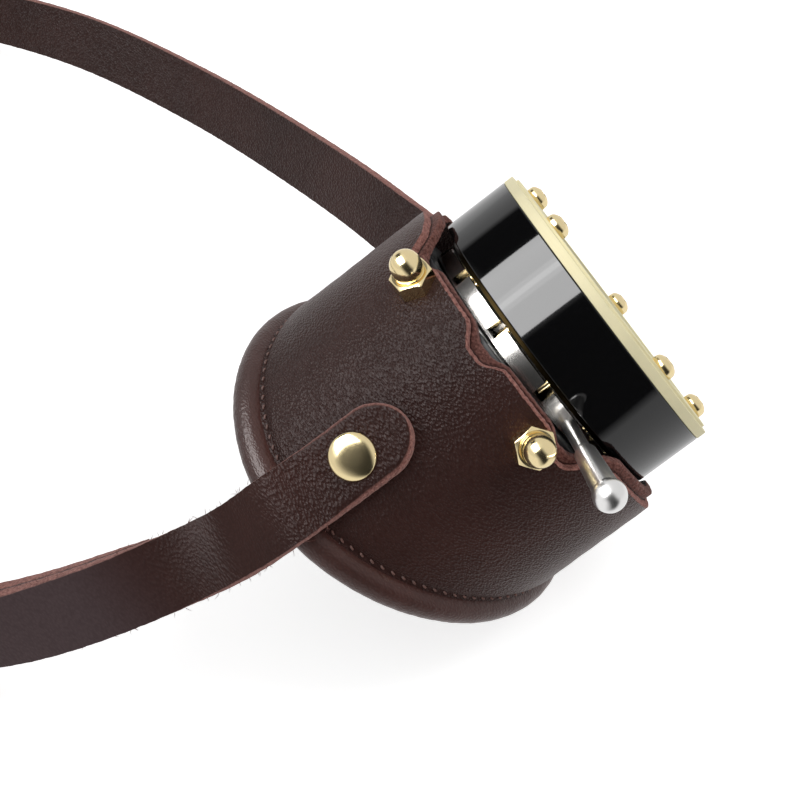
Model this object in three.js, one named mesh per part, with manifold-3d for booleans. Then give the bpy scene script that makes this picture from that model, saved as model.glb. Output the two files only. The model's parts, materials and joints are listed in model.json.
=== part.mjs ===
// Steampunk monocle: a leather eye cup that carries a lever-worked iris behind a round window, on a
// buckled leather strap. Millimetres, +Z up, as it lies on a table: on the rim's roll and strap edges.
// Cup pieces are modelled in the cup's own frame: +Z along the drum's axis to the front, 0 at the rear
// of the drum. A cup angle is counted from -Y, the side with the lever, towards +X.
import * as THREE from 'three';
import { mergeVertices } from 'three/addons/utils/BufferGeometryUtils.js';
import Module from 'manifold-3d';

const wasm = await Module();
wasm.setup();

// How the cup lies: its axis points along cupHeading, raised by cupPitch and turned by cupRoll.
const cupHeading = 20.4;
const cupPitch = 32.6;
const cupRoll = 44.7;

// Running and seating gaps
const gap = 0.3;
const seatGap = 0.15;
const roundSegments = 36;

// Leather cup: two layers, a scalloped front edge and a contoured eye side
const temple = -13;
const outerLayer = [31.2, 32.6];
const liningLayer = [29.4, 30.9];
const cupColumns = 96;
const edgeLevel = -1.0;
const leverDip = 3.3;
const dipAngles = [38, 60];
const liningLead = 1.5;
const leadAngles = [46, 58];
const notchPitch = 40;
const notchDepth = 2.6;
const notchHalfAngle = 10;
const notchRamp = 8;
const plainLobe = 80;
const rimWave = [-27.69, -14.5, -1.675, 0.35, -0.29];
const pipingRadius = 2.8;
const pipingCentre = 31.4;

// Iris: blades hang on pivotRadius, each on a helical slope, so that a blade lies over its neighbour
const bladeCount = 12;
const pivotRadius = 21.3;
const bladeWidth = 7.0;
const bladeThickness = 0.2;
const bladeSpan = 145;
const bladeDrop = 5.6;
const bladeTipZ = 0.8;
const bladeClosedTurn = 35;
const bladeStations = 13;
const pinRadius = 0.7;
const pinSides = 6;
const pivotPinTop = 8.0;
const drivePinEnd = -3.4;
const slotAngle = 10.5;
const slotWidth = 2.2;
const slotInner = 18.2;
const slotDepthZ = [-3.7, -1.0];

// Drum, its window and its front ring
const drumRadius = 28;
const chamberRadius = 26;
const drumFront = 12.2;
const chamberFront = 8.5;
const lensLip = [20.2, 9.1];
const lensRadius = 22;
const frontRingInner = 20;
const frontRingZ = [12.5, 14.2, 14.7];
const frontRingStep = 26.9;
const frontScrewCount = 5;
const frontScrewCircle = 24.5;
const frontScrewAngle = 32;
const frontScrewRadius = 0.85;
const frontScrewHead = 2.25;

// What joins the drum to the leather
const postAngles = [105, 166, 194, 255];
const postCircle = 26.5;
const postRadius = 1.3;
const postEnd = -4.4;
const postScrewRadius = 0.7;
const mountOuter = 29.0;
const mountSkirt = 24.6;
const mountZ = [-14, -5.9, -4.7];
const journalRadius = 20.0;
const boltAngles = [-30.5, 30.5, 144, 216];
const boltZ = -8.6;
const boltRadius = 1.9;
const boltHead = 2.4;
const nutAcross = 6.9;
const nutDome = 2.7;
const nutRise = 4.5;

// Lever on the slotted ring
const leverAngle = 27.5;
const leverZ = -2.6;
const leverBall = 48;
const ballRadius = 2.75;
const leverRod = [1.3, 1.9, 2.25];

// Straps: width, thickness, and the rivets that hold them
const strapWidth = 13.2;
const strapThickness = 2.8;
const strapStep = 8;
const strapOnWall = outerLayer[1] + gap + strapThickness / 2;
const nearSide = temple + 3.4;
const nearRivetZ = -32.0;
const farRivetZ = -8.5;
const rivetShank = 1.5;
const rivetCap = 4.0;

// Buckle: its bar stands at buckleBar, and the strap runs through it along buckleHeading
const buckleBar = [-139.6, -34.9, -29.0];
const buckleHeading = 166;
const frameLength = 20;
const frameHalfHeight = 8.55;
const wireRadius = 1.25;
const prongRadius = 1.0;
const foldRadius = 3.1;
const layerPitch = strapThickness + gap;
const foldBack = [14, 20, 26, 33, 41, 49, 57, 64, 70];
const foldRivetAt = 25;
const holeWidth = 2 * prongRadius + 4 * gap;
const holeLength = 14.4;
const holePitch = 22;
const usedHole = 38;
const spareHoles = 3;

const radians = THREE.MathUtils.degToRad;
const vec = (x, y, z) => new THREE.Vector3(x, y, z);

// A point on the cup at a cup angle, a radius and a height along the axis
function onCup(angle, radius, z) {
  return vec(radius * Math.sin(radians(angle)), -radius * Math.cos(radians(angle)), z);
}

// Closed mesh with shared vertices, no slivers, and faces that point out
function weld(geometry) {
  const bare = geometry.clone();
  bare.deleteAttribute('normal');
  bare.deleteAttribute('uv');
  const merged = mergeVertices(bare, 1e-4);
  const p = merged.attributes.position;
  const corner = [vec(0, 0, 0), vec(0, 0, 0), vec(0, 0, 0)];
  const kept = [];
  let volume = 0;
  for (let i = 0; i < merged.index.count; i += 3) {
    const t = [0, 1, 2].map((k) => merged.index.getX(i + k));
    if (t[0] === t[1] || t[1] === t[2] || t[2] === t[0]) continue;
    t.forEach((v, k) => corner[k].fromBufferAttribute(p, v));
    volume += corner[0].dot(corner[1].clone().cross(corner[2]));
    kept.push(t);
  }
  const index = volume < 0 ? kept.map(([a, b, c]) => [a, c, b]) : kept;
  merged.setIndex(index.flat());
  return merged;
}

function toSolid(geometry) {
  const g = weld(geometry);
  const vertProperties = new Float32Array(g.attributes.position.array);
  const triVerts = new Uint32Array(g.index.array);
  return new wasm.Manifold(new wasm.Mesh({ numProp: 3, vertProperties, triVerts }));
}

function toGeometry(solid) {
  const mesh = solid.getMesh();
  const g = new THREE.BufferGeometry();
  g.setAttribute('position', new THREE.BufferAttribute(new Float32Array(mesh.vertProperties), 3));
  g.setIndex(new THREE.BufferAttribute(new Uint32Array(mesh.triVerts), 1));
  return g;
}

function cut(geometry, tools) {
  return toGeometry(tools.reduce((body, tool) => body.subtract(toSolid(tool)), toSolid(geometry)));
}

function join(geometries) {
  return toGeometry(geometries.map(toSolid).reduce((body, other) => body.add(other)));
}

// Solid of revolution about Z from a closed outline of [radius, z] points
function revolve(outline, segments = roundSegments) {
  const points = [...outline, outline[0]].map(([r, z]) => new THREE.Vector2(r, z));
  return new THREE.LatheGeometry(points, segments).rotateX(Math.PI / 2);
}

// Round bar along Z from z0 to z1
function bar(radius, z0, z1, sides = 8) {
  return new THREE.CylinderGeometry(radius, radius, z1 - z0, sides)
    .rotateX(Math.PI / 2).translate(0, 0, (z0 + z1) / 2);
}

// Moves a piece made along +Z, with 0 at the cup's axis, out along a radius of the cup
function radial(geometry, angle, z) {
  const turn = new THREE.Quaternion().setFromUnitVectors(vec(0, 0, 1), onCup(angle, 1, 0));
  return geometry.applyQuaternion(turn).translate(0, 0, z);
}

// Skin through rings of points: capped at both ends, or closed into a loop
function loft(rings, loop = false) {
  const n = rings[0].length;
  const index = [];
  const last = loop ? rings.length : rings.length - 1;
  for (let i = 0; i < last; i++) {
    const next = (i + 1) % rings.length;
    for (let j = 0; j < n; j++) {
      const k = (j + 1) % n;
      index.push(i * n + j, next * n + j, next * n + k, i * n + j, next * n + k, i * n + k);
    }
  }
  if (!loop) {
    const end = (rings.length - 1) * n;
    for (let j = 1; j < n - 1; j++) index.push(0, j, j + 1, end, end + j + 1, end + j);
  }
  const g = new THREE.BufferGeometry().setFromPoints(rings.flat());
  g.setIndex(index);
  return g;
}

// Circle of points round a centre, across two directions
function circle(centre, a, b, radius, sides) {
  return Array.from({ length: sides }, (_, i) => {
    const t = (2 * Math.PI * i) / sides;
    return centre.clone().addScaledVector(a, radius * Math.cos(t)).addScaledVector(b, radius * Math.sin(t));
  });
}

const finishes = {
  leather: [0x3a201b, 0.5, 0],
  lining: [0x4a2a24, 0.7, 0],
  brass: [0xd8b765, 0.25, 1],
  paleBrass: [0xe0d3a0, 0.3, 1],
  nickel: [0xc8c6c0, 0.2, 1],
  chrome: [0xd6d6d6, 0.08, 1],
  gloss: [0x050505, 0.1, 0],
  black: [0x151515, 0.5, 0.4],
  blade: [0x8d8a84, 0.3, 1],
  glass: [0xdfe8ea, 0.05, 0],
  rubber: [0x111111, 0.8, 0],
};

function piece(name, geometry, finish) {
  const [color, roughness, metalness] = finishes[finish];
  const material = new THREE.MeshStandardMaterial({ color, roughness, metalness });
  const mesh = new THREE.Mesh(weld(geometry), material);
  mesh.name = name;
  return mesh;
}

const smooth = (t) => THREE.MathUtils.smoothstep(t, 0, 1);

// Angle from the temple side, from -180 to 180
function fromTemple(angle) {
  return THREE.MathUtils.euclideanModulo(angle - temple + 180, 360) - 180;
}

// How far an angle lies in a scallop of the front edge: 0 on a lobe, 1 at the bottom; one lobe runs on double
function scallop(angle) {
  const half = notchPitch / 2;
  if (Math.abs(fromTemple(angle) - plainLobe) < half) return 0;
  const turn = THREE.MathUtils.euclideanModulo(fromTemple(angle) + half, notchPitch) - half;
  return smooth((notchHalfAngle - Math.abs(turn)) / notchRamp);
}

// Height of the leather's front edge: a dip that the lever swings in, and scallops all round
function frontEdge(angle) {
  const a = Math.abs(fromTemple(angle));
  const dip = leverDip * smooth((dipAngles[1] - a) / (dipAngles[1] - dipAngles[0]));
  return edgeLevel - dip - notchDepth * scallop(angle);
}

// Height of the eye-side edge: long at the temple, short at the nose
function rimEdge(angle) {
  const t = radians(fromTemple(angle));
  return rimWave.reduce((z, amplitude, k) => z + amplitude * Math.cos(k * t), 0);
}

function cupHoles(layer) {
  const [inner, outer] = layer;
  const through = (radius, angle, z) => radial(bar(radius, inner - 1, outer + 1), angle, z);
  return [
    ...boltAngles.map((a) => through(boltRadius + gap, temple + a, boltZ)),
    through(rivetShank + gap, nearSide, nearRivetZ),
    through(rivetShank + gap, temple + 180, farRivetZ),
  ];
}

// A layer's front edge stands ahead of the common one by lead; where the lever swings, in the scallops only
function cupLayer(layer, lead) {
  const [inner, outer] = layer;
  const [from, to] = leadAngles;
  const rings = Array.from({ length: cupColumns }, (_, i) => {
    const angle = (360 * i) / cupColumns;
    const clear = smooth((Math.abs(fromTemple(angle)) - from) / (to - from));
    const ahead = lead * Math.max(clear, scallop(angle));
    const [front, rear] = [frontEdge(angle) + ahead, rimEdge(angle)];
    return [onCup(angle, outer, front), onCup(angle, outer, rear), onCup(angle, inner, rear),
      onCup(angle, inner, front)];
  });
  return cut(loft(rings, true), cupHoles(layer));
}

// Padded roll that follows the eye-side edge, set square to it on the unrolled wall
function rimPiping() {
  const stations = 56;
  const step = 0.5;
  const rings = Array.from({ length: stations }, (_, i) => {
    const angle = (360 * i) / stations;
    const run = pipingCentre * radians(2 * step);
    const slope = (rimEdge(angle + step) - rimEdge(angle - step)) / run;
    const scale = (pipingRadius + gap) / Math.hypot(1, slope);
    const shifted = angle + THREE.MathUtils.radToDeg((scale * slope) / pipingCentre);
    const centre = onCup(shifted, pipingCentre, rimEdge(angle) - scale);
    const along = onCup(shifted + 90, 1, slope).normalize();
    const out = onCup(shifted, 1, 0);
    return circle(centre, out, along.cross(out), pipingRadius, 8);
  });
  return loft(rings, true);
}

function mountingRing() {
  const [rear, flange, front] = mountZ;
  const bore = journalRadius + gap;
  const ring = revolve([[mountOuter, front], [mountOuter, rear], [mountSkirt, rear], [mountSkirt, flange],
    [bore, flange], [bore, front]]);
  const counterbore = -8;
  const rivetPocket = radial(bar(rivetCap + gap, 27.9, mountOuter + 1, 16), temple + 180, farRivetZ);
  const bolts = boltAngles.map((a) => radial(bar(boltRadius + gap, 20, 32), temple + a, boltZ));
  const posts = postAngles.flatMap((a) => {
    const at = onCup(temple + a, postCircle, 0);
    return [bar(postScrewRadius + gap, rear - 1, 0), bar(1.8, rear - 1, counterbore)]
      .map((hole) => hole.translate(at.x, at.y, 0));
  });
  return cut(ring, [rivetPocket, ...bolts, ...posts]);
}

function cupBolt(angle) {
  const head = bar(boltHead, 22.6, 24.3, 12);
  const shank = bar(boltRadius, 24.0, 35.2);
  return radial(join([head, shank]), temple + angle, boltZ);
}

function acornNut(angle) {
  const base = outerLayer[1] + gap;
  const hex = bar(nutAcross / Math.sqrt(3), base, base + 2.4, 6);
  const arc = Array.from({ length: 5 }, (_, i) => radians(22.5 * i));
  const dome = revolve([[0, base + 1], [nutDome, base + 1], [nutDome, base + nutRise],
    ...arc.slice(1).map((t) => [nutDome * Math.cos(t), base + nutRise + nutDome * Math.sin(t)])], 12);
  const hole = bar(boltRadius + gap, base - 1, base + 2.6);
  return radial(cut(join([hex, dome]), [hole]), temple + angle, boltZ);
}

function drum() {
  const [lip, lipFront] = lensLip;
  const body = revolve([[drumRadius, 0], [drumRadius, drumFront], [lensRadius + gap, drumFront],
    [lensRadius + gap, lipFront], [lip, lipFront], [lip, chamberFront], [chamberRadius, chamberFront],
    [chamberRadius, 0]], 40);
  const place = (a, tool) => {
    const at = onCup(temple + a, postCircle, 0);
    return tool.translate(at.x, at.y, 0);
  };
  const posts = postAngles.map((a) => place(a, bar(postRadius, postEnd, 1)));
  const postHoles = postAngles.map((a) => place(a, bar(postScrewRadius + gap, postEnd - 1, 0.7)));
  const screwHole = (at) => bar(frontScrewRadius + gap, 9.8, drumFront + 1).translate(at.x, at.y, 0);
  const screwHoles = frontScrews(screwHole);
  return cut(join([body, ...posts]), [...postHoles, ...screwHoles]);
}

// Calls make with the place of each front screw
function frontScrews(make) {
  return Array.from({ length: frontScrewCount }, (_, i) =>
    make(onCup(frontScrewAngle + (360 * i) / frontScrewCount, frontScrewCircle, 0), i));
}

function postScrew(angle) {
  const at = onCup(temple + angle, postCircle, 0);
  const screw = join([bar(1.4, -9.6, -8.2), bar(postScrewRadius, -8.4, 0.4)]);
  return screw.translate(at.x, at.y, 0);
}

function bearingWasher() {
  const washer = revolve([[22.8, -0.95], [25.4, -0.95], [25.4, -gap], [22.8, -gap]]);
  const notches = postAngles.map((a) => {
    const at = onCup(temple + a, postCircle, 0);
    return bar(postRadius + gap, -2, 1).translate(at.x, at.y, 0);
  });
  return cut(washer, notches);
}

// Ring that the lever turns: slots for the blades' drive pins, and a journal behind
function slottedRing() {
  const [inner, outer, front, rear, journalEnd] = [16.6, 24.8, -1.25, -4.3, -6.0];
  const ring = revolve([[inner, front], [outer, front], [outer, rear], [journalRadius, rear],
    [journalRadius, journalEnd], [inner, journalEnd]]);
  const [z0, z1] = slotDepthZ;
  const reach = outer + 1;
  const slots = Array.from({ length: bladeCount }, (_, i) =>
    new THREE.BoxGeometry(slotWidth, reach - slotInner, z1 - z0)
      .translate(0, -(reach + slotInner) / 2, (z0 + z1) / 2)
      .rotateZ(radians(slotAngle + (360 * i) / bladeCount)));
  const leverHole = radial(bar(1.0 + gap, 21.5, reach), leverAngle, leverZ);
  return cut(ring, [...slots, leverHole]);
}

// Turned lever: a stud, a rod that swells outwards, and a ball
function lever() {
  const [thin, full, thick] = leverRod;
  const neck = leverBall - Math.sqrt(ballRadius ** 2 - thick ** 2);
  const start = Math.acos((neck - leverBall) / ballRadius);
  const ball = Array.from({ length: 8 }, (_, i) => start * (1 - i / 7));
  const outline = [[0, 21.9], [1.0, 21.9], [1.0, 25.1], [thin, 25.1], [thin, 33.2],
    [full, 34.9], [thick, neck],
    ...ball.slice(1).map((t) => [ballRadius * Math.sin(t), leverBall + ballRadius * Math.cos(t)])];
  return radial(revolve(outline, 12), leverAngle, leverZ);
}

// Angle of a blade's pivot about the axis, from +X
function pivotAngle(i) {
  return slotAngle - 90 - (bladeSpan + 2 * bladeClosedTurn) + (360 * i) / bladeCount;
}

// Crescent blade on a helical slope, with its pivot pin to the front and its drive pin to the rear
function irisBlade(i) {
  const half = bladeWidth / 2;
  const slope = bladeDrop / bladeSpan;
  const height = (u) => bladeTipZ + bladeDrop - slope * u;
  const station = (u, halfWidth) => [[-1, -1], [1, -1], [1, 1], [-1, 1]].map(([side, face]) => {
    const r = pivotRadius + side * halfWidth;
    return vec(r * Math.cos(radians(u)), r * Math.sin(radians(u)), height(u) + (face * bladeThickness) / 2);
  });
  const round = [75, 50, 25].map((t) => radians(t))
    .map((t) => [THREE.MathUtils.radToDeg((half * Math.sin(t)) / pivotRadius), half * Math.cos(t)]);
  const rings = [
    ...round.map(([u, w]) => station(-u, w)),
    ...Array.from({ length: bladeStations + 1 }, (_, k) => station((bladeSpan * k) / bladeStations, half)),
    ...round.reverse().map(([u, w]) => station(bladeSpan + u, w)),
  ];
  const pivotPin = bar(pinRadius, height(0), pivotPinTop, pinSides).translate(pivotRadius, 0, 0);
  const tip = vec(pivotRadius, 0, 0).applyAxisAngle(vec(0, 0, 1), radians(bladeSpan));
  const drivePin = bar(pinRadius, drivePinEnd, height(bladeSpan), pinSides).translate(tip.x, tip.y, 0);
  return join([loft(rings), pivotPin, drivePin])
    .translate(-pivotRadius, 0, 0).rotateZ(radians(bladeClosedTurn)).translate(pivotRadius, 0, 0)
    .rotateZ(radians(pivotAngle(i)));
}

function pivotPlate() {
  const plate = revolve([[18.4, 7.3], [25.7, 7.3], [25.7, 8.2], [18.4, 8.2]]);
  const holes = Array.from({ length: bladeCount }, (_, i) =>
    bar(pinRadius + gap, 7, 9, pinSides).translate(pivotRadius, 0, 0).rotateZ(radians(pivotAngle(i))));
  return cut(plate, holes);
}

function lens() {
  const [rear, edge, crown] = [9.4, 11.2, 0.7];
  const dome = Array.from({ length: 5 }, (_, i) => lensRadius * (1 - i / 4));
  return revolve([[0, rear], [lensRadius, rear],
    ...dome.map((r) => [r, edge + crown * (1 - (r / lensRadius) ** 2)])]);
}

function lensGasket() {
  return revolve([[20.4, 11.6], [lensRadius, 11.6], [lensRadius, drumFront], [20.4, drumFront]]);
}

function frontRing() {
  const [rear, step, front] = frontRingZ;
  const ring = revolve([[frontRingInner, rear], [drumRadius, rear], [drumRadius, step],
    [frontRingStep, step], [frontRingStep, front], [frontRingInner, front]], 40);
  const hole = (at) => bar(frontScrewRadius + gap, rear - 1, front + 1).translate(at.x, at.y, 0);
  return cut(ring, frontScrews(hole));
}

function frontScrew(at) {
  const under = frontRingZ[2] + seatGap;
  const dome = [0, 30, 60, 90].map((t) => radians(t))
    .map((t) => [frontScrewHead * Math.cos(t), under + 0.5 + 1.6 * Math.sin(t)]);
  const outline = [[0, 10.2], [frontScrewRadius, 10.2], [frontScrewRadius, under], [frontScrewHead, under],
    ...dome];
  return revolve(outline, 10).translate(at.x, at.y, 0);
}

// Domed rivet through the strap and both leather layers
function rivet(angle, z) {
  const seat = outerLayer[1] + gap + strapThickness + seatGap;
  const plate = 3.4;
  const back = Math.sqrt(liningLayer[0] ** 2 - plate ** 2) - seatGap;
  const dome = [0, 30, 60, 90].map((t) => radians(t))
    .map((t) => [rivetCap * Math.cos(t), seat + 0.5 + 1.1 * Math.sin(t)]);
  const outline = [[0, back - 0.8], [plate, back - 0.8], [plate, back], [rivetShank, back],
    [rivetShank, seat], [rivetCap, seat], ...dome];
  return radial(revolve(outline, 12), angle, z);
}

const cup = new THREE.Group();
const axis = vec(1, 0, 0).applyEuler(new THREE.Euler(0, -radians(cupPitch), radians(cupHeading), 'ZYX'));
const level = vec(Math.sin(radians(cupHeading)), -Math.cos(radians(cupHeading)), 0);
const cupX = level.applyAxisAngle(axis, radians(cupRoll));
const cupTurn = new THREE.Matrix4().makeBasis(cupX, axis.clone().cross(cupX), axis);
cup.quaternion.setFromRotationMatrix(cupTurn);

const inSpace = (point) => point.applyMatrix4(cupTurn);
const cupDirection = (angle) => inSpace(onCup(angle, 1, 0));

// A strap's run through stations of [centre, direction across its width], measured along its length
function strapRun(stations) {
  const centres = new THREE.CatmullRomCurve3(stations.map(([c]) => c), false, 'centripetal');
  const widths = new THREE.CatmullRomCurve3(stations.map(([, w]) => w), false, 'centripetal');
  const fine = 20;
  centres.arcLengthDivisions = fine * (stations.length - 1);
  const lengths = centres.getLengths();
  const frameAt = (s) => {
    const t = centres.getUtoTmapping(0, s);
    const along = centres.getTangent(t);
    const across = widths.getPoint(t);
    across.addScaledVector(along, -across.dot(along)).normalize();
    return { centre: centres.getPoint(t), along, across, out: along.clone().cross(across) };
  };
  return { marks: stations.map((_, i) => lengths[fine * i]), length: lengths.at(-1), frameAt };
}

// Flat strap along a run; an end is round or cut square
function strap(run, roundStart, roundEnd) {
  const half = strapWidth / 2;
  const halfAt = (s) => (s >= half ? half : Math.sqrt(Math.max(half ** 2 - (half - s) ** 2, 0.5)));
  const arc = [0, 0.06, 0.25, 0.55, 1].map((k) => half * k);
  const even = run.marks.slice(1).flatMap((end, i) => {
    const start = run.marks[i];
    const parts = Math.ceil((end - start) / strapStep);
    return Array.from({ length: parts }, (_, k) => start + ((end - start) * k) / parts);
  });
  const inner = even.filter((s) => s > half + 0.5 && s < run.length - half - 0.5);
  const places = [...arc, ...inner, ...arc.map((s) => run.length - s).reverse()];
  const rings = places.map((s) => {
    const { centre, across, out } = run.frameAt(s);
    const w = Math.min(roundStart ? halfAt(s) : half, roundEnd ? halfAt(run.length - s) : half);
    return [[-1, -1], [1, -1], [1, 1], [-1, 1]].map(([side, face]) => centre.clone()
      .addScaledVector(across, side * w).addScaledVector(out, (face * strapThickness) / 2));
  });
  return loft(rings);
}

// Places in the buckle: along the strap, outwards from the loop, and up from its middle
const buckleAlong = vec(Math.cos(radians(buckleHeading)), Math.sin(radians(buckleHeading)), 0);
const buckleOut = vec(-buckleAlong.y, buckleAlong.x, 0);
const up = vec(0, 0, 1);
const buckleMatrix = new THREE.Matrix4().makeBasis(buckleAlong, buckleOut, up).setPosition(...buckleBar);
const inBuckle = (places) => places.map(([s, m]) => [vec(s, m, 0).applyMatrix4(buckleMatrix), up.clone()]);

// Short strap as far as the buckle: along the temple side, over the roll and down to the table
const nearRun = strapRun([
  ...[[-21.6, 0], [-28, 0], [-37, 0], [-41.8, 0.7], [-46.6, 1.9]].map(([z, lift]) =>
    [inSpace(onCup(nearSide, strapOnWall + lift, z)), cupDirection(nearSide - 90)]),
  [vec(-54.1, -38.1, -9.4), vec(-0.35, 0.75, 0.56)],
  [vec(-74.9, -42.3, -17.7), vec(-0.12, 0.63, 0.77)],
  [vec(-94.0, -42.2, -25.7), vec(0.02, 0.36, 0.93)],
  [vec(-108.0, -42.4, -27.9), vec(0.05, 0.18, 0.98)],
  ...inBuckle([[-23, layerPitch / 2], [-15, layerPitch / 2], [-8, layerPitch / 2 + 0.4]]),
]);

// It turns round the bar and runs back along its own inner side
function buckleStrap() {
  const turn = [90, 60, 30, 0, -30, -60, -90].map((t) =>
    [foldRadius * Math.cos(radians(t)), foldRadius * Math.sin(radians(t))]);
  const outward = nearRun.marks.map((s) => nearRun.frameAt(s));
  const back = foldBack.map((s) => {
    const { centre, across, out } = nearRun.frameAt(nearRun.length - s);
    return [centre.addScaledVector(out, layerPitch), across];
  });
  const run = strapRun([
    ...outward.map(({ centre, across }) => [centre, across]),
    ...inBuckle([...turn, [-8, -layerPitch / 2 - 0.4]]),
    ...back,
  ]);
  const prongSlot = new THREE.BoxGeometry(11, 14, holeWidth).translate(1, 0, 0).applyMatrix4(buckleMatrix);
  const rivetHole = radial(bar(rivetShank + gap, 30, 40), nearSide, nearRivetZ).applyMatrix4(cupTurn);
  const foldHole = placeFold(bar(rivetShank + 2 * gap, -8, 8));
  return cut(strap(run, true, false), [prongSlot, rivetHole, foldHole]);
}

// Long strap: round the nose side of the cup, in a loop on the table, and out through the buckle
const farTable = [
  [-12.8, 40.9, -17.3, 0.66, 0.24, 0.71], [-28.0, 64.5, -17.9, 0.43, 0.20, 0.88],
  [-48.2, 96.0, -23.3, 0.28, 0.39, 0.88], [-74.6, 128.9, -27.6, 0.23, 0.44, 0.87],
  [-104.2, 154.2, -28.2, 0.20, 0.42, 0.89], [-131.6, 172.8, -30.7, 0.11, 0.24, 0.96],
  [-160, 185, -32.2, 0, 0, 1], [-186, 182, -32.2, 0, 0, 1], [-205, 164, -32.2, 0, 0, 1],
  [-213, 135, -32.2, 0, 0, 1], [-214, 100, -32.2, 0, 0, 1], [-212, 66, -32.2, 0, 0, 1],
  [-206, 37, -31.6, 0, 0, 1], [-197, 11, -30.6, 0, 0, 1], [-183, -10, -29.4, 0, 0, 1],
];

function longStrap() {
  const wall = [[-10, 0], [0, 0], [10, 0], [17, 0.7]].map(([angle, lift]) =>
    [inSpace(onCup(temple + 180 + angle, strapOnWall + lift, farRivetZ)), axis.clone()]);
  const table = farTable.map(([x, y, z, a, b, c]) => [vec(x, y, z), vec(a, b, c)]);
  const through = inBuckle([[28, -3.5], [20, -3.4], [11.5, 0.9], [3, 6.1], [-4, 6.2], [-12, 4.8],
    [-27, 4.75]]);
  const run = strapRun([...wall, ...table, ...through]);
  const rivetHole = radial(bar(rivetShank + gap, 30, 40), temple + 180, farRivetZ).applyMatrix4(cupTurn);
  const used = new THREE.BoxGeometry(holeLength, 24, holeWidth)
    .translate(8, 2, 0).applyMatrix4(buckleMatrix);
  const spare = Array.from({ length: spareHoles }, (_, i) => {
    const { centre, along, across, out } = run.frameAt(run.length - usedHole - holePitch * (i + 1));
    const place = new THREE.Matrix4().makeBasis(along, across, out).setPosition(centre);
    return new THREE.BoxGeometry(holeLength, holeWidth, 8).applyMatrix4(place);
  });
  return cut(strap(run, true, true), [rivetHole, used, ...spare]);
}

// Wire frame of the buckle: a rectangle with round corners
function buckleFrame() {
  const corner = 3;
  const corners = [[0, -1], [1, -1], [1, 1], [0, 1]];
  const rings = corners.flatMap(([sx, sz], i) => [0, 30, 60, 90].map((t) => {
    const turn = radians(t + 90 * i + 180);
    const centre = vec(sx ? frameLength - corner : corner, 0, sz * (frameHalfHeight - corner));
    const out = vec(Math.cos(turn), 0, Math.sin(turn));
    return circle(centre.addScaledVector(out, corner), out, vec(0, 1, 0), wireRadius, 8);
  }));
  return loft(rings, true).applyMatrix4(buckleMatrix);
}

// Prong: an eye round the bar and a straight pin that rests on the far wire of the frame
function buckleProng() {
  const eye = wireRadius + gap + prongRadius;
  const sides = 14;
  const rings = Array.from({ length: sides }, (_, i) => {
    const t = (2 * Math.PI * i) / sides;
    const out = vec(Math.cos(t), Math.sin(t), 0);
    return circle(out.clone().multiplyScalar(eye), out, up, prongRadius, 8);
  });
  const long = frameLength + 1.6;
  const pin = new THREE.CylinderGeometry(prongRadius * 0.7, prongRadius, long, 8)
    .rotateZ(-Math.PI / 2).translate(long / 2, eye, 0);
  return join([loft(rings, true), pin]).applyMatrix4(buckleMatrix);
}

// Leather band round the layers of the strap beside the buckle
function strapKeeper() {
  const [wall, width, s] = [1.5, 7, -19];
  const low = -layerPitch / 2 - strapThickness / 2 - 2 * gap;
  const high = 4.8 + strapThickness / 2 + gap;
  const tall = strapWidth / 2 + gap;
  const band = (grow, long) => new THREE.BoxGeometry(long, high - low + 2 * grow, 2 * (tall + grow))
    .translate(s, (low + high) / 2, 0).applyMatrix4(buckleMatrix);
  return cut(band(wall, width), [band(0, width + 2)]);
}

// Puts a piece made along +Z on the fold, with 0 in the middle of the outer layer
function placeFold(geometry) {
  const { centre, out } = nearRun.frameAt(nearRun.length - foldRivetAt);
  const turn = new THREE.Quaternion().setFromUnitVectors(up, out.negate());
  return geometry.applyQuaternion(turn).translate(centre.x, centre.y, centre.z);
}

// Rivet through both layers of the fold
function foldRivet() {
  const seat = strapThickness / 2 + 2.5 * gap;
  const back = -layerPitch - seat;
  return placeFold(revolve([[0, back - 0.7], [2.8, back - 0.7], [2.8, back], [rivetShank, back],
    [rivetShank, seat], [3.2, seat], [2.9, seat + 0.7], [1.6, seat + 1.2], [0, seat + 1.35]], 16));
}

cup.add(
  piece('cup_outer', cupLayer(outerLayer, 0), 'leather'),
  piece('cup_lining', cupLayer(liningLayer, liningLead), 'lining'),
  piece('rim_piping', rimPiping(), 'leather'),
  piece('mounting_ring', mountingRing(), 'black'),
  piece('drum', drum(), 'gloss'),
  piece('bearing_washer', bearingWasher(), 'brass'),
  piece('slotted_ring', slottedRing(), 'nickel'),
  piece('iris_lever', lever(), 'chrome'),
  piece('pivot_plate', pivotPlate(), 'brass'),
  piece('lens', lens(), 'glass'),
  piece('lens_gasket', lensGasket(), 'rubber'),
  piece('front_ring', frontRing(), 'paleBrass'),
  piece('near_rivet', rivet(nearSide, nearRivetZ), 'brass'),
  piece('far_rivet', rivet(temple + 180, farRivetZ), 'brass'),
  ...boltAngles.map((a, i) => piece(`cup_bolt_${i + 1}`, cupBolt(a), 'brass')),
  ...boltAngles.map((a, i) => piece(`acorn_nut_${i + 1}`, acornNut(a), 'brass')),
  ...postAngles.map((a, i) => piece(`post_screw_${i + 1}`, postScrew(a), 'black')),
  ...frontScrews((at, i) => piece(`front_screw_${i + 1}`, frontScrew(at), 'brass')),
  ...Array.from({ length: bladeCount }, (_, i) =>
    piece(`iris_blade_${String(i + 1).padStart(2, '0')}`, irisBlade(i), 'blade')),
);

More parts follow.
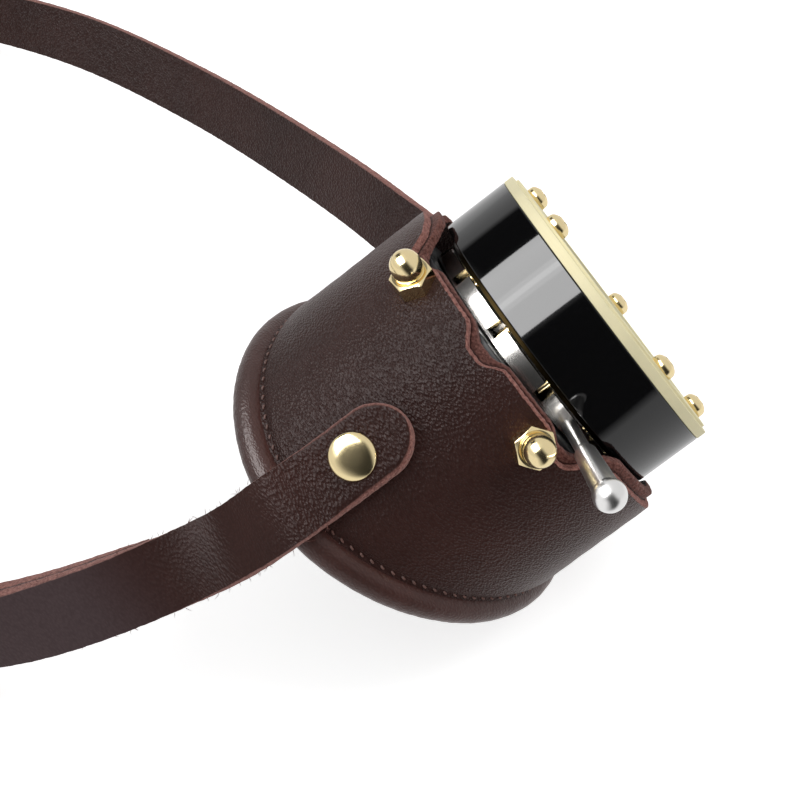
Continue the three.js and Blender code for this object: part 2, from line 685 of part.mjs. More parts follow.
const monocle = new THREE.Group();
monocle.add(
  cup,
  piece('buckle_strap', buckleStrap(), 'leather'),
  piece('long_strap', longStrap(), 'leather'),
  piece('buckle_frame', buckleFrame(), 'brass'),
  piece('buckle_prong', buckleProng(), 'brass'),
  piece('strap_keeper', strapKeeper(), 'leather'),
  piece('fold_rivet', foldRivet(), 'brass'),
);

// Origin under the middle of the object's box, on the table
const box = new THREE.Box3().setFromObject(monocle, true);
const middle = box.getCenter(vec(0, 0, 0));
monocle.position.set(-middle.x, -middle.y, -box.min.z);

export default monocle;
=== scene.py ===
import json
import bmesh
import bpy
import numpy as np
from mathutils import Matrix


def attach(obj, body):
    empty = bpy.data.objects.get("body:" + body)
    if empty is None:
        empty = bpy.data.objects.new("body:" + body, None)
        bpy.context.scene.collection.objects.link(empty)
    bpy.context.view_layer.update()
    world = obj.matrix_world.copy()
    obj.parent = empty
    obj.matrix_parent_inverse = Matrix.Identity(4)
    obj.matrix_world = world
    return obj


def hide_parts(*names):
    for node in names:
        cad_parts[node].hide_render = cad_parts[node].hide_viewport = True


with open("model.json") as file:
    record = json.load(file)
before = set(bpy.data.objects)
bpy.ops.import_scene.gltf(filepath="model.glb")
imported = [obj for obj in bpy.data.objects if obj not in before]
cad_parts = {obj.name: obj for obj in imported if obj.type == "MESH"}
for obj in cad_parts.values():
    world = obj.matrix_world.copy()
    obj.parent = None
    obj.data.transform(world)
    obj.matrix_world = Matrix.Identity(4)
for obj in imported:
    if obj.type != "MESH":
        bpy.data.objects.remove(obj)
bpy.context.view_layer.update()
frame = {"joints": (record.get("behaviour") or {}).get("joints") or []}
joints = {j["name"]: j for j in frame["joints"]}
mm = 0.001
base = "cup_and_strap"


# how the cup lies, as in the part's source: heading and pitch of the drum's axis, and its turn about it
cupPose = {"heading": 20.4, "pitch": 32.6, "bank": 44.7, "leverZ": -2.6, "temple": -13.0}

heading, pitch, bank = (np.radians(cupPose[k]) for k in ("heading", "pitch", "bank"))
cupAxis = np.array([np.cos(pitch) * np.cos(heading), np.cos(pitch) * np.sin(heading), np.sin(pitch)])
level = np.array([np.sin(heading), -np.cos(heading), 0.0])
cupX = level * np.cos(bank) + np.cross(cupAxis, level) * np.sin(bank)
cupY = np.cross(cupAxis, cupX)
cupOrigin = np.array(joints["iris_lever"]["pos_m"]) - cupPose["leverZ"] * mm * cupAxis
cupFrame = (cupOrigin, cupX, cupY, cupAxis)
turnCup = np.array([cupX, cupY, cupAxis])
temple = cupPose["temple"]
up = np.array([0.0, 0.0, 1.0])


# frames are (origin in metres, x, y, z); local points are in millimetres
def placed(local, where):
    origin, x, y, z = where
    return origin + mm * (np.asarray(local, float) @ np.array([x, y, z]))


# a point at a cup angle (from the lever's side), a radius and a height along the axis
def cupLocal(angle, radius, z):
    a, radius, z = np.broadcast_arrays(np.radians(angle), radius, z)
    return np.stack([radius * np.sin(a), -radius * np.cos(a), z], -1)


def onCup(angle, radius, z):
    return placed(cupLocal(angle, radius, z), cupFrame)


# direction away from the drum's axis at a cup angle
def outwards(angle):
    return cupLocal(angle, 1.0, 0.0) @ turnCup


# frame whose z runs out along a radius of the cup, 0 on the drum's axis
def radialFrame(angle, z):
    out = outwards(angle)
    return (cupOrigin + z * mm * cupAxis, cupAxis, np.cross(out, cupAxis), out)


# frame parallel to the drum's axis, through a point of a circle on it
def axialFrame(angle, radius):
    return (onCup(angle, radius, 0.0), cupX, cupY, cupAxis)


def unit(v):
    return v / np.linalg.norm(v, axis=-1, keepdims=True)


def fullTurn(steps, whole=2 * np.pi):
    return np.linspace(0, whole, steps, endpoint=False)


def quarterTurn(steps):
    return np.linspace(0, np.pi / 2, steps)


# points at a radius, an angle and a height about the z axis
def polar(radius, angle, z):
    return np.stack(np.broadcast_arrays(radius * np.cos(angle), radius * np.sin(angle), z), -1)


def join(*parts, axis=0):
    return np.concatenate(parts, axis)


# the same vector for each of several points
def repeated(vector, count):
    return np.tile(vector, (count, 1))


# quads of a grid of nu x nv points, closed round u or v where asked
def gridFaces(nu, nv, loopU, loopV):
    a, b = np.meshgrid(np.arange(nu if loopU else nu - 1), np.arange(nv if loopV else nv - 1), indexing="ij")
    c, d = (a + 1) % nu, (b + 1) % nv
    return np.stack([a * nv + b, c * nv + b, c * nv + d, a * nv + d], -1).reshape(-1, 4).tolist()


# a shell is (points, faces); a tube that is open along u gets an end face at each end
def shell(points, loopU=True, loopV=True, caps=False):
    nu, nv = points.shape[:2]
    faces = gridFaces(nu, nv, loopU, loopV)
    if caps:
        faces += [list(range(nv)), list(range((nu - 1) * nv, nu * nv))]
    return points.reshape(-1, 3), faces


# corners of a closed outline rounded by a parabola from edge to edge; points on the axis stay
def rounded(outline, radius, steps=5):
    p = np.asarray(outline, float)
    before, after = np.roll(p, 1, 0) - p, np.roll(p, -1, 0) - p
    la, lb = (np.linalg.norm(v, axis=1, keepdims=True) for v in (before, after))
    r = np.where(np.abs(p[:, :1]) < 1e-6, 0.0, radius)
    start = p + before / la * np.minimum(r, 0.45 * la)
    end = p + after / lb * np.minimum(r, 0.45 * lb)
    t = np.linspace(0, 1, steps)[None, :, None]
    curve = (1 - t) ** 2 * start[:, None] + 2 * t * (1 - t) * p[:, None] + t ** 2 * end[:, None]
    return curve.reshape(-1, 2)


# turned piece: a closed outline of (radius, height) carried round the z axis of a frame
def turned(outline, where, segments=96):
    return shell(placed(polar(outline[None, :, 0], fullTurn(segments)[:, None], outline[None, :, 1]), where))


# tube: a circle carried along a path, across two directions given at each point
def tube(path, acrossA, acrossB, radius, sides=16, loop=True):
    t = fullTurn(sides)[None, :, None]
    r = np.broadcast_to(radius, (len(path),))[:, None, None]
    ring = path[:, None] + r * (acrossA[:, None] * np.cos(t) + acrossB[:, None] * np.sin(t))
    return shell(ring, loopU=loop, caps=not loop)


# one mesh of several shells, with a value at each point under a mark's name where given; doubles at poles
# are merged and faces turned outwards
def makeMesh(name, shells, raw=None, mark="rawEdge", mergeWithin=2e-7):
    counts = np.cumsum([0] + [len(p) for p, _ in shells])
    faces = [[i + start for i in f] for start, (_, fs) in zip(counts, shells) for f in fs]
    mesh = bpy.data.meshes.new(name)
    mesh.from_pydata(np.vstack([p for p, _ in shells]).tolist(), [], faces)
    if raw is not None:
        mesh.attributes.new(mark, "FLOAT", "POINT").data.foreach_set("value", raw.astype(np.float32))
    bm = bmesh.new()
    bm.from_mesh(mesh)
    bmesh.ops.remove_doubles(bm, verts=bm.verts, dist=mergeWithin)
    bmesh.ops.recalc_face_normals(bm, faces=bm.faces)
    bm.to_mesh(mesh)
    bm.free()
    return mesh


def addObject(name, data):
    thing = bpy.data.objects.new(name, data)
    bpy.context.scene.collection.objects.link(thing)
    return thing


# puts shells into one piece that rides on a body; a finish is (material, slot), of which the slot is not
# used, and edges sharper than the crease angle stay sharp
def makePiece(name, shells, finish, nodes=(), body=base, crease=38, raw=None, mark="rawEdge"):
    material, slot = finish
    mesh = makeMesh(name, shells, raw, mark)
    mesh.polygons.foreach_set("use_smooth", np.ones(len(mesh.polygons), bool))
    mesh.set_sharp_from_angle(angle=np.radians(crease))
    mesh.materials.append(material)
    piece = addObject(name, mesh)
    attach(piece, body)
    if nodes:
        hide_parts(*nodes)
    return piece


# node helpers: a value given as a socket is linked, any other is set on the input
def feed(tree, node, inputs):
    for key, value in inputs.items():
        if isinstance(value, bpy.types.NodeSocket):
            tree.links.new(value, node.inputs[key])
        else:
            node.inputs[key].default_value = value


def addNode(tree, kind, inputs=None, **settings):
    node = tree.nodes.new(kind)
    for key, value in settings.items():
        setattr(node, key, value)
    feed(tree, node, inputs or {})
    return node


def newMaterial(name):
    material = bpy.data.materials.new(name)
    material.use_nodes = True
    tree = material.node_tree
    coords = addNode(tree, "ShaderNodeTexCoord").outputs["Object"]
    return material, tree, tree.nodes["Principled BSDF"], coords


def noise(tree, coords, scale, detail=3.0, rough=0.5, output="Fac"):
    inputs = {"Vector": coords, "Scale": scale, "Detail": detail, "Roughness": rough}
    return addNode(tree, "ShaderNodeTexNoise", inputs).outputs[output]


def ramp(tree, value, places, colours):
    node = addNode(tree, "ShaderNodeValToRGB", {"Fac": value})
    elements = node.color_ramp.elements
    for element, k in ((elements[0], 0), (elements[1], -1)):
        element.position, element.color = places[k], (*colours[k], 1)
    for place, colour in zip(places[1:-1], colours[1:-1]):
        elements.new(place).color = (*colour, 1)
    return node.outputs["Color"]


def mixColour(tree, factor, a, b, blend="MIX"):
    node = addNode(tree, "ShaderNodeMix", {0: factor, 6: a, 7: b}, data_type="RGBA", blend_type=blend)
    return node.outputs[2]


def mixValue(tree, factor, a, b):
    return addNode(tree, "ShaderNodeMix", {0: factor, 2: a, 3: b}).outputs[0]


def maths(tree, how, *values):
    return addNode(tree, "ShaderNodeMath", dict(enumerate(values)), operation=how).outputs[0]


# a vector is scaled by a number; every other operation takes two vectors or one
def vectorMaths(tree, how, a, b=None):
    inputs = {0: a} if b is None else {0: a, 3 if how == "SCALE" else 1: b}
    node = addNode(tree, "ShaderNodeVectorMath", inputs, operation=how)
    return node.outputs["Value" if how in ("DOT_PRODUCT", "LENGTH") else "Vector"]


# carries a range of values onto another one
def remap(tree, value, source=(0.0, 1.0), target=(0.0, 1.0), kind="LINEAR"):
    ranges = {"From Min": source[0], "From Max": source[1], "To Min": target[0], "To Max": target[1]}
    return addNode(tree, "ShaderNodeMapRange", {"Value": value, **ranges}, interpolation_type=kind).outputs[0]


def attribute(tree, name):
    return addNode(tree, "ShaderNodeAttribute", attribute_name=name).outputs["Fac"]


def relief(tree, bsdf, height, strength, depth):
    bump = addNode(tree, "ShaderNodeBump", {"Height": height, "Strength": strength, "Distance": depth})
    tree.links.new(bump.outputs[0], bsdf.inputs["Normal"])


def scaled(colour, by):
    return tuple(c * by for c in colour)


# dyed leather: pebbled grain over soft creases, paler where it is worn, tan fibres where the rawEdge is
# cut; calm is (from, to, share): behind those heights along the drum's axis the grain fades to that share,
# and the colour's (from, to, share) does the same for a painted sheen, a pale grey-mauve that the colour
# turns to in place of reflected light; pores and fibres are (scale, share of the relief)
leatherLook = {
    "dark": (0.031, 0.0104, 0.0080), "mid": (0.043, 0.0148, 0.0114), "worn": (0.058, 0.0208, 0.0162),
    "patina": 38.0, "patinaAt": (0.30, 0.52, 0.78), "raw": (0.46, 0.22, 0.185),
    "rawDeep": (0.155, 0.058, 0.048), "rawAt": (0.36, 0.66), "rawRoughness": 0.92, "grain": 1750.0,
    "grainSoft": 0.6, "stretch": 0.9, "wander": (420.0, 0.0007), "crest": (1.08, 1.08, 1.08),
    "valley": (0.86, 0.84, 0.84), "valleyAt": (0.05, 0.75), "crease": 430.0, "creasing": 0.20,
    "pores": (5200.0, 0.16), "fibres": (1900.0, 0.12), "roughness": (0.33, 0.41), "bump": 1.0,
    "depth": 0.00021, "specular": 0.115, "sheen": 0.18, "sheenRoughness": 0.45,
    "sheenTint": (0.95, 0.82, 0.80, 1), "calm": (-200, -190, 1.0), "paintedSheenAt": (-200, -190, 0.0),
    "paintedSheen": (0.090, 0.062, 0.066, 1),
}


def leatherFinish(name, slot, changes, shade=1.0):
    look = {**leatherLook, **changes}
    material, tree, bsdf, coords = newMaterial(name)
    atDrum = float(cupOrigin @ cupAxis)

    def heights(key):
        return [atDrum + z * mm for z in look[key][:2]]

    along = vectorMaths(tree, "DOT_PRODUCT", coords, tuple(cupAxis))
    pull = maths(tree, "MULTIPLY", along, look["stretch"])
    drawn = vectorMaths(tree, "ADD", coords, vectorMaths(tree, "SCALE", tuple(cupAxis), pull))
    bend, bendBy = look["wander"]
    drift = vectorMaths(tree, "SCALE", noise(tree, coords, bend, 2.0, output="Color"), bendBy)
    warped = vectorMaths(tree, "ADD", drawn, drift)
    cells = {"Vector": warped, "Scale": look["grain"], "Smoothness": look["grainSoft"]}
    pebble = addNode(tree, "ShaderNodeTexVoronoi", cells, feature="SMOOTH_F1").outputs["Distance"]
    crease = noise(tree, drawn, look["crease"], 4.0, 0.6)
    (poreScale, poring), (fibreScale, fibring) = look["pores"], look["fibres"]
    pores, fibres = noise(tree, coords, poreScale, 2.0), noise(tree, coords, fibreScale, 5.0, 0.7)
    patina = noise(tree, coords, look["patina"], 4.0, 0.55)
    tones = [scaled(look[key], shade) for key in ("dark", "mid", "worn")]
    tone = ramp(tree, patina, look["patinaAt"], tones)
    # painted sheen: behind the given heights the colour is mixed towards a pale grey-mauve
    paintedSheenShare = remap(tree, along, heights("paintedSheenAt"), (look["paintedSheenAt"][2], 0.0), "SMOOTHSTEP")
    tone = mixColour(tree, paintedSheenShare, tone, look["paintedSheen"])
    valley = ramp(tree, pebble, look["valleyAt"], (look["crest"], look["valley"]))
    skin = mixColour(tree, 1.0, tone, valley, "MULTIPLY")
    cutEdge = ramp(tree, fibres, look["rawAt"], (look["rawDeep"], look["raw"]))
    rawEdge = attribute(tree, "rawEdge")
    gloss = remap(tree, crease, target=look["roughness"])
    height = maths(tree, "MULTIPLY_ADD", crease, look["creasing"], pebble)
    height = maths(tree, "MULTIPLY_ADD", pores, poring, height)
    height = maths(tree, "MULTIPLY_ADD", fibres, fibring, height)
    lively = remap(tree, along, heights("calm"), (look["bump"] * look["calm"][2], look["bump"]))
    relief(tree, bsdf, height, lively, look["depth"])
    feed(tree, bsdf, {
        "Base Color": mixColour(tree, rawEdge, skin, cutEdge),
        "Roughness": mixValue(tree, rawEdge, gloss, look["rawRoughness"]),
        "Specular IOR Level": look["specular"], "Sheen Weight": look["sheen"],
        "Sheen Roughness": look["sheenRoughness"], "Sheen Tint": look["sheenTint"]})
    return material, slot


# metals and enamels: tone and gloss vary with one noise, and the relief with another; tones are shares of
# the colour, noises are (scale, detail, roughness), and lay is (strength, depth) of the relief; turned
# metal has its marks in rings about the drum's axis, and a near-black painted shade in a recess
finishes = {
    "metal": {"smear": (84.0, 4.0, 0.6), "at": (0.3, 0.7), "tones": (0.90, 1.0), "marks": (700.0,),
              "lay": (0.02, 0.0001), "metallic": 1.0, "specular": 0.5},
    "turned": {"smear": (90.0, 4.0, 0.6), "at": (0.3, 0.7), "tones": (0.88, 1.0), "marks": (5000.0, 3.0, 0.6),
               "lay": (0.10, 0.00005), "recessShade": (0.012, 0.012, 0.010, 1), "metallic": 1.0, "specular": 0.5},
    "enamel": {"smear": (1400.0, 3.0, 0.7), "at": (0.45, 0.85), "tones": (1.0, 1.5), "marks": (55.0, 2.0),
               "lay": (0.04, 0.0002), "metallic": 0.0, "specular": 0.5},
}


# (distance from the drum's axis, height along it) as texture coordinates
def drumRings(tree, coords):
    fromDrum = vectorMaths(tree, "SUBTRACT", coords, tuple(cupOrigin))
    along = vectorMaths(tree, "DOT_PRODUCT", fromDrum, tuple(cupAxis))
    onAxis = vectorMaths(tree, "SCALE", tuple(cupAxis), along)
    radius = vectorMaths(tree, "LENGTH", vectorMaths(tree, "SUBTRACT", fromDrum, onAxis))
    return addNode(tree, "ShaderNodeCombineXYZ", {0: radius, 1: along}).outputs[0]


def finished(name, slot, kind, colour, gloss, **changes):
    look = {**finishes[kind], **changes}
    material, tree, bsdf, coords = newMaterial(name)
    smear = noise(tree, coords, *look["smear"])
    tone = ramp(tree, smear, look["at"], [scaled(colour, share) for share in look["tones"]])
    markCoords = coords
    if kind == "turned":
        # painted shade: where the recess attribute is set, the tone turns near black
        tone = mixColour(tree, attribute(tree, "recess"), tone, look["recessShade"])
        markCoords = drumRings(tree, coords)
    feed(tree, bsdf, {"Base Color": tone, "Roughness": remap(tree, smear, target=gloss),
                      "Metallic": look["metallic"], "Specular IOR Level": look["specular"]})
    relief(tree, bsdf, noise(tree, markCoords, *look["marks"]), *look["lay"])
    return material, slot


# clear glass with a faint smear
glassLook = {"colour": (0.93, 0.96, 0.96, 1), "smear": 120.0, "roughness": (0.0, 0.04), "ior": 1.5}


def glassFinish(name, slot):
    look = glassLook
    material, tree, bsdf, coords = newMaterial(name)
    smear = noise(tree, coords, look["smear"], 4.0, 0.6)
    feed(tree, bsdf, {"Base Color": look["colour"], "Roughness": remap(tree, smear, target=look["roughness"]),
                      "Transmission Weight": 1.0, "IOR": look["ior"]})
    return material, slot


# waxed thread: strands that are light and dark, and stand out a little
threadLook = {
    "dark": (0.055, 0.022, 0.018), "light": (0.26, 0.125, 0.100), "at": (0.3, 0.7), "strand": 4200.0,
    "roughness": 0.7, "lay": (0.5, 0.0001),
}


def threadFinish(name, slot):
    look = threadLook
    material, tree, bsdf, coords = newMaterial(name)
    strand = noise(tree, coords, look["strand"], 3.0, 0.7)
    tone = ramp(tree, strand, look["at"], (look["dark"], look["light"]))
    feed(tree, bsdf, {"Base Color": tone, "Roughness": look["roughness"]})
    relief(tree, bsdf, strand, *look["lay"])
    return material, slot


liningLook = {
    "grain": 1300.0, "roughness": (0.5, 0.7), "raw": (0.27, 0.120, 0.098), "rawDeep": (0.080, 0.028, 0.023),
}
rollLook = {"creasing": 0.5, "crease": 260.0, "bump": 0.40, "specular": 0.34}
strapLook = {"grain": 1500.0, "crease": 330.0}
# on the short strap, behind these heights along the axis, the colour is painted pale grey-mauve: a painted
# sheen
shortLook = {**strapLook, "specular": 0.10, "calm": (-56, -42, 0.30), "paintedSheenAt": (-86, -66, 0.85)}
wallLeather = leatherFinish("wallLeather", "leather", {})
liningLeather = leatherFinish("liningLeather", "lining", liningLook, 1.3)
# the roll's tones are the wall leather's painted 1.6 times paler: a painted highlight for the light the roll
# catches
rollLeather = leatherFinish("rollLeather", "leather", rollLook, 1.6)
strapLeather = leatherFinish("strapLeather", "strap", strapLook, 1.05)
shortLeather = leatherFinish("shortLeather", "strap", shortLook, 1.05)
brass = finished("polishedBrass", "brass", "metal", (0.90, 0.74, 0.42), (0.13, 0.22))
chrome = finished("brightChrome", "chrome", "metal", (0.86, 0.85, 0.84), (0.245, 0.32),
                  smear=(60.0, 4.0, 0.6), marks=(500.0,))
paleBrass = finished("paleBrass", "pale_brass", "turned", (0.90, 0.83, 0.55), (0.525, 0.945), metallic=0.2)
# the bearing washer's brass is painted near black: painted shade for the groove between the slotted ring and
# the drum
shadePaintedBrass = finished("shadePaintedBrass", "brass", "turned", (0.014, 0.0095, 0.0035), (0.2625, 0.4725))
nickel = finished("nickelPlate", "nickel", "turned", (0.74, 0.72, 0.69), (0.1275, 0.2295))
bladeSteel = finished("bladeSteel", "blade", "turned", (0.33, 0.32, 0.31), (0.225, 0.405),
                      marks=(3000.0, 3.0, 0.6))
glossBlack = finished("glossBlack", "gloss_black", "enamel", (0.003, 0.003, 0.0034), (0.04, 0.065))
satinBlack = finished("satinBlack", "black", "enamel", (0.012, 0.012, 0.013), (0.336, 0.546), specular=0.4)
sealRubber = finished("sealRubber", "rubber", "enamel", (0.015, 0.015, 0.015), (0.56, 0.91), specular=0.3)
windowGlass = glassFinish("windowGlass", "glass")
seamThread = threadFinish("seamThread", "leather")
print("materials: 16")


# leather wall: radii of the two layers, scalloped front edge, contoured eye side
wall = {
    "outer": (31.2, 32.6), "lining": (29.4, 31.1), "level": -1.0, "dip": 3.3, "dipAngles": (38, 60),
    "lead": (0.3, 1.2), "leadAngles": (46, 58), "setBack": 0.25, "notchPitch": 40, "notchDepth": 2.6,
    "notchHalf": 10, "notchRamp": 8, "plainLobe": 80, "rim": (-27.69, -14.5, -1.675, 0.35, -0.29),
    "columns": 900, "frontRows": (0, 0.05, 8), "rows": (0.06, 0.90, 20), "rimRows": (0.91, 1, 14),
    "cornerSteps": 6, "edgeRound": 0.15, "outerBevel": (0.55, 0.45), "liningBevel": (0.35, 0.30),
    "fray": (0.05, 0.04), "seamIn": 0.15, "seamDepth": 0.55, "seamWidth": 0.9, "tuck": 0.9, "ripple": 0.05,
    "strip": (0.05, 0.3), "boltAngles": (-30.5, 30.5, 144, 216), "boltZ": -8.6, "dent": 0.55,
    "dentLean": (0.45, 5), "dentSize": (6, 5.5),
}


def smooth(t):
    t = np.clip(t, 0, 1)
    return t * t * (3 - 2 * t)


def fromTemple(angle):
    return (angle - temple + 180) % 360 - 180


# scallops at even angles: 0 on a lobe, 1 at the bottom of a notch, smooth between; one lobe is double
def scallop(angle):
    half = wall["notchPitch"] / 2
    toNotch = np.abs((fromTemple(angle) + half) % wall["notchPitch"] - half)
    deep = smooth((wall["notchHalf"] - toNotch) / wall["notchRamp"])
    return np.where(np.abs(fromTemple(angle) - wall["plainLobe"]) < half, 0.0, deep)


# front edge: a level, less a smooth dip on the lever's side, less the scallops
def frontEdge(angle):
    low, high = wall["dipAngles"]
    dip = wall["dip"] * smooth((high - np.abs(fromTemple(angle))) / (high - low))
    return wall["level"] - dip - wall["notchDepth"] * scallop(angle)


# eye-side edge: a sum of cosines of the angle from the temple
def rimEdge(angle):
    t = np.radians(fromTemple(angle))
    return sum(amount * np.cos(k * t) for k, amount in enumerate(wall["rim"]))


# dent at each bolt: the wall leans inwards to the front of it, by a bell curve of the distance from it
def nutDent(angle, z):
    start, run = wall["dentLean"]
    tall, wide = wall["dentSize"]
    along = z - wall["boltZ"]
    total = 0.0
    for a in wall["boltAngles"]:
        around = np.radians((angle - temple - a + 180) % 360 - 180) * wall["outer"][1]
        bell = np.exp(-(along / tall) ** 2 - (around / wide) ** 2)
        total = total + wall["dent"] * np.clip(start + along / run, -0.3, 1) * bell
    return total


# wall layer: a thin section (outer face, eye edge, inner face, front edge) carried round the axis; s runs
# from the front edge to the eye edge, corners are quarter circles, and the cut front is bevelled by a
# quarter ellipse; where the lever swings, the lining leads in the notches only; seam is 1 for the layer
# that is sewn to the roll
def wallLayer(name, radii, bevel, finish, node, lead, seam, fray):
    inner, outer = radii
    e, (bevelR, bevelZ) = wall["edgeRound"], bevel
    angle = fullTurn(wall["columns"], 360)[:, None]
    turn = np.radians(angle)
    low, high = wall["leadAngles"]
    first, more = lead
    clear = smooth((np.abs(fromTemple(angle)) - low) / (high - low))
    ahead = first + more * np.maximum(clear, scallop(angle))
    ragged = fray * (np.sin(turn * 97) * np.sin(turn * 41 + 1) + 0.6 * np.sin(turn * 173 + 2))
    common, rim = frontEdge(angle), rimEdge(angle)
    front, rear = common + ahead + ragged - fray, rim - seam * wall["tuck"]
    q = quarterTurn(wall["cornerSteps"])
    one, zero = np.ones(len(q)), np.zeros(len(q))
    s = np.concatenate([np.linspace(*wall[key]) for key in ("frontRows", "rows", "rimRows")])
    face = np.ones(len(s))
    r = join(outer * face, outer - e + e * np.cos(q), inner + e - e * np.sin(q), inner * face,
             inner + e - e * np.cos(q), outer - bevelR + bevelR * np.sin(q))
    sAll = join(s, one, one, s[::-1], zero, zero)
    frontOff = join(-bevelZ * face, zero, zero, -e * face, -e + e * np.sin(q),
                    -bevelZ + bevelZ * np.cos(q))
    rearOff = join(e * face, e - e * np.sin(q), e - e * np.cos(q), e * face, zero, zero)
    cutFace = join(0 * face, one * (1 - seam), one * (1 - seam), 0 * face, one, one)
    onFace = join(face, np.zeros(len(r) - len(s)))
    z = (1 - sAll) * (front + frontOff) + sAll * (rear + rearOff)
    drawn = seam * wall["seamDepth"] * np.exp(-((z - rim - wall["seamIn"]) / wall["seamWidth"]) ** 2)
    ripple = wall["ripple"] * np.sin(turn * 9 + z * 0.5) * np.sin(z * 0.8 + 2)
    points = onCup(angle, r - onFace * (drawn - ripple * seam) - nutDent(angle, z), z)
    stripFrom, stripRun = wall["strip"]
    strip = smooth((z - common + wall["setBack"] - stripFrom) / stripRun)
    raw = np.maximum(cutFace, onFace * (1 - seam) * strip)
    makePiece(name, [shell(points)], finish, [node], raw=raw.reshape(-1))


wallLayer("cupOuterLeather", wall["outer"], wall["outerBevel"], wallLeather, "cup_outer",
          (-wall["setBack"], 0.0), 1.0, wall["fray"][0])
wallLayer("cupLiningLeather", wall["lining"], wall["liningBevel"], liningLeather, "cup_lining",
          wall["lead"], 0.0, wall["fray"][1])
print("cup wall: two layers")


# padded roll: a tube round the eye edge, square to it on the unrolled wall, pinched a little at each stitch
roll = {
    "radius": 2.8, "centre": 31.4, "gap": 0.3, "stations": 1200, "sides": 32, "pinch": 0.02,
    "stitches": 104, "share": 0.985, "wave": 0.010,
}


# places lifted square off the eye edge at a radius of the cup, and the directions along and out there
def rollPath(angle, lift, centre, step=0.5):
    slope = (rimEdge(angle + step) - rimEdge(angle - step)) / (centre * np.radians(2 * step))
    scale = lift / np.hypot(1, slope)
    shifted = angle + np.degrees(scale * slope / centre)
    path = onCup(shifted, centre, rimEdge(angle) - scale)
    return path, unit(cupLocal(shifted + 90, 1.0, slope)) @ turnCup, outwards(shifted)


def paddedRoll():
    angle = fullTurn(roll["stations"], 360)
    path, along, out = rollPath(angle, roll["radius"] + roll["gap"], roll["centre"])
    back = np.cross(along, out)
    t = fullTurn(roll["sides"])[None, :]
    turn = np.radians(angle)[:, None]
    beat = np.cos(turn * roll["stitches"])
    wave = np.sin(turn * 31) * np.sin(turn * 17 + 1)
    pinch = roll["pinch"] * 0.5 * (beat - 1) * smooth(np.sin(t)) * smooth(np.cos(t))
    r = roll["radius"] * (roll["share"] + pinch + roll["wave"] * wave)
    spokes = out[:, None] * np.cos(t)[..., None] + back[:, None] * np.sin(t)[..., None]
    ring = path[:, None] + mm * r[..., None] * spokes
    piece = makePiece("rimRoll", [shell(ring)], rollLeather, ["rim_piping"], raw=np.zeros(ring[..., 0].size))


paddedRoll()


# stitches: a short capsule for each, bent a little and half sunk in the wall just in front of the roll
stitch = {"count": 104, "length": 1.05, "radius": 0.21, "slant": 0.45, "sink": 0.20, "arch": 0.14}


def seamStitches():
    angle = fullTurn(stitch["count"], 360)
    path, along, out = rollPath(angle, -wall["seamIn"], wall["outer"][1] - wall["seamDepth"] + stitch["sink"])
    lean = unit(along + stitch["slant"] * np.cross(along, out))
    s = np.linspace(-1, 1, 9)[None, :, None]
    fat = np.sqrt(np.clip(1 - np.abs(s) ** 4, 0.0, 1))[..., None]
    t = fullTurn(8)[None, None, :, None]
    arch = -stitch["arch"] * s ** 2
    centre = path[:, None] + mm * (stitch["length"] / 2 * s * lean[:, None] + arch * out[:, None])
    ring = np.cos(t) * out[:, None, None] + np.sin(t) * np.cross(lean, out)[:, None, None]
    points = centre[:, :, None] + mm * stitch["radius"] * fat * ring
    makePiece("rimStitches", [shell(p, loopU=False) for p in points], seamThread)


seamStitches()
print("roll and", stitch["count"], "stitches")


# six-sided bar whose top corners are chamfered: the lesser of the hexagon's radius and a cone
hexagon = {"foot": 0.05, "chamfer": 0.5, "top": 0.95, "cone": 1.73}


def hexRows(phi, across, z0, z1):
    flats = across / 2 / np.cos((phi + np.pi / 6) % (np.pi / 3) - np.pi / 6)
    z = join([z0, z0 + hexagon["foot"]], z1 - np.linspace(hexagon["chamfer"], 0, 11))
    cone = across / 2 * hexagon["top"] + (z1 - z) * hexagon["cone"]
    return np.minimum(flats, cone[None, :]), z


# acorn nut: hexagon, a grooved neck and a dome; rows of the outline are carried round an axis that leans a
# little to the front, as the soft wall lets it
nut = {
    "across": 6.5, "base": 32.62, "sunk": -0.5, "hex": 2.5, "neck": 2.45,
    "neckZ": (0.0, 0.08, 0.22, 0.32, 0.5), "ball": 2.7, "ballZ": 4.4, "lean": 11, "turn": (8, 33, 0, 20),
}


def acornNut(index, angle):
    phi = fullTurn(120)[:, None]
    hexR, hexZ = hexRows(phi, nut["across"], nut["sunk"], nut["hex"])
    t = quarterTurn(16)
    domeR, domeZ = nut["ball"] * np.cos(t), nut["ballZ"] + nut["ball"] * np.sin(t)
    neckR = np.array([nut["neck"] + 0.1, nut["neck"], nut["neck"], nut["ball"] - 0.06, nut["ball"]])
    neckZ = nut["hex"] + np.array(nut["neckZ"])
    r = join(0 * phi, hexR, neckR + 0 * phi, domeR + 0 * phi, axis=1)
    z = join([nut["sunk"]], hexZ, neckZ, domeZ)
    local = polar(r, phi + np.radians(nut["turn"][index]), z)
    centre, forward, side, out = radialFrame(temple + angle, wall["boltZ"])
    lean = np.radians(nut["lean"])
    tilted = (centre + nut["base"] * mm * out, forward * np.cos(lean) - out * np.sin(lean), side,
              out * np.cos(lean) + forward * np.sin(lean))
    makePiece(f"acornNut{index + 1}", [shell(placed(local, tilted), loopV=False)], brass,
              [f"acorn_nut_{index + 1}"], crease=30)


# bolt inside the cup: a low six-sided head on a plain shank
bolt = {"across": 4.2, "head": (22.7, 24.5), "shank": 1.85, "end": 32.5}


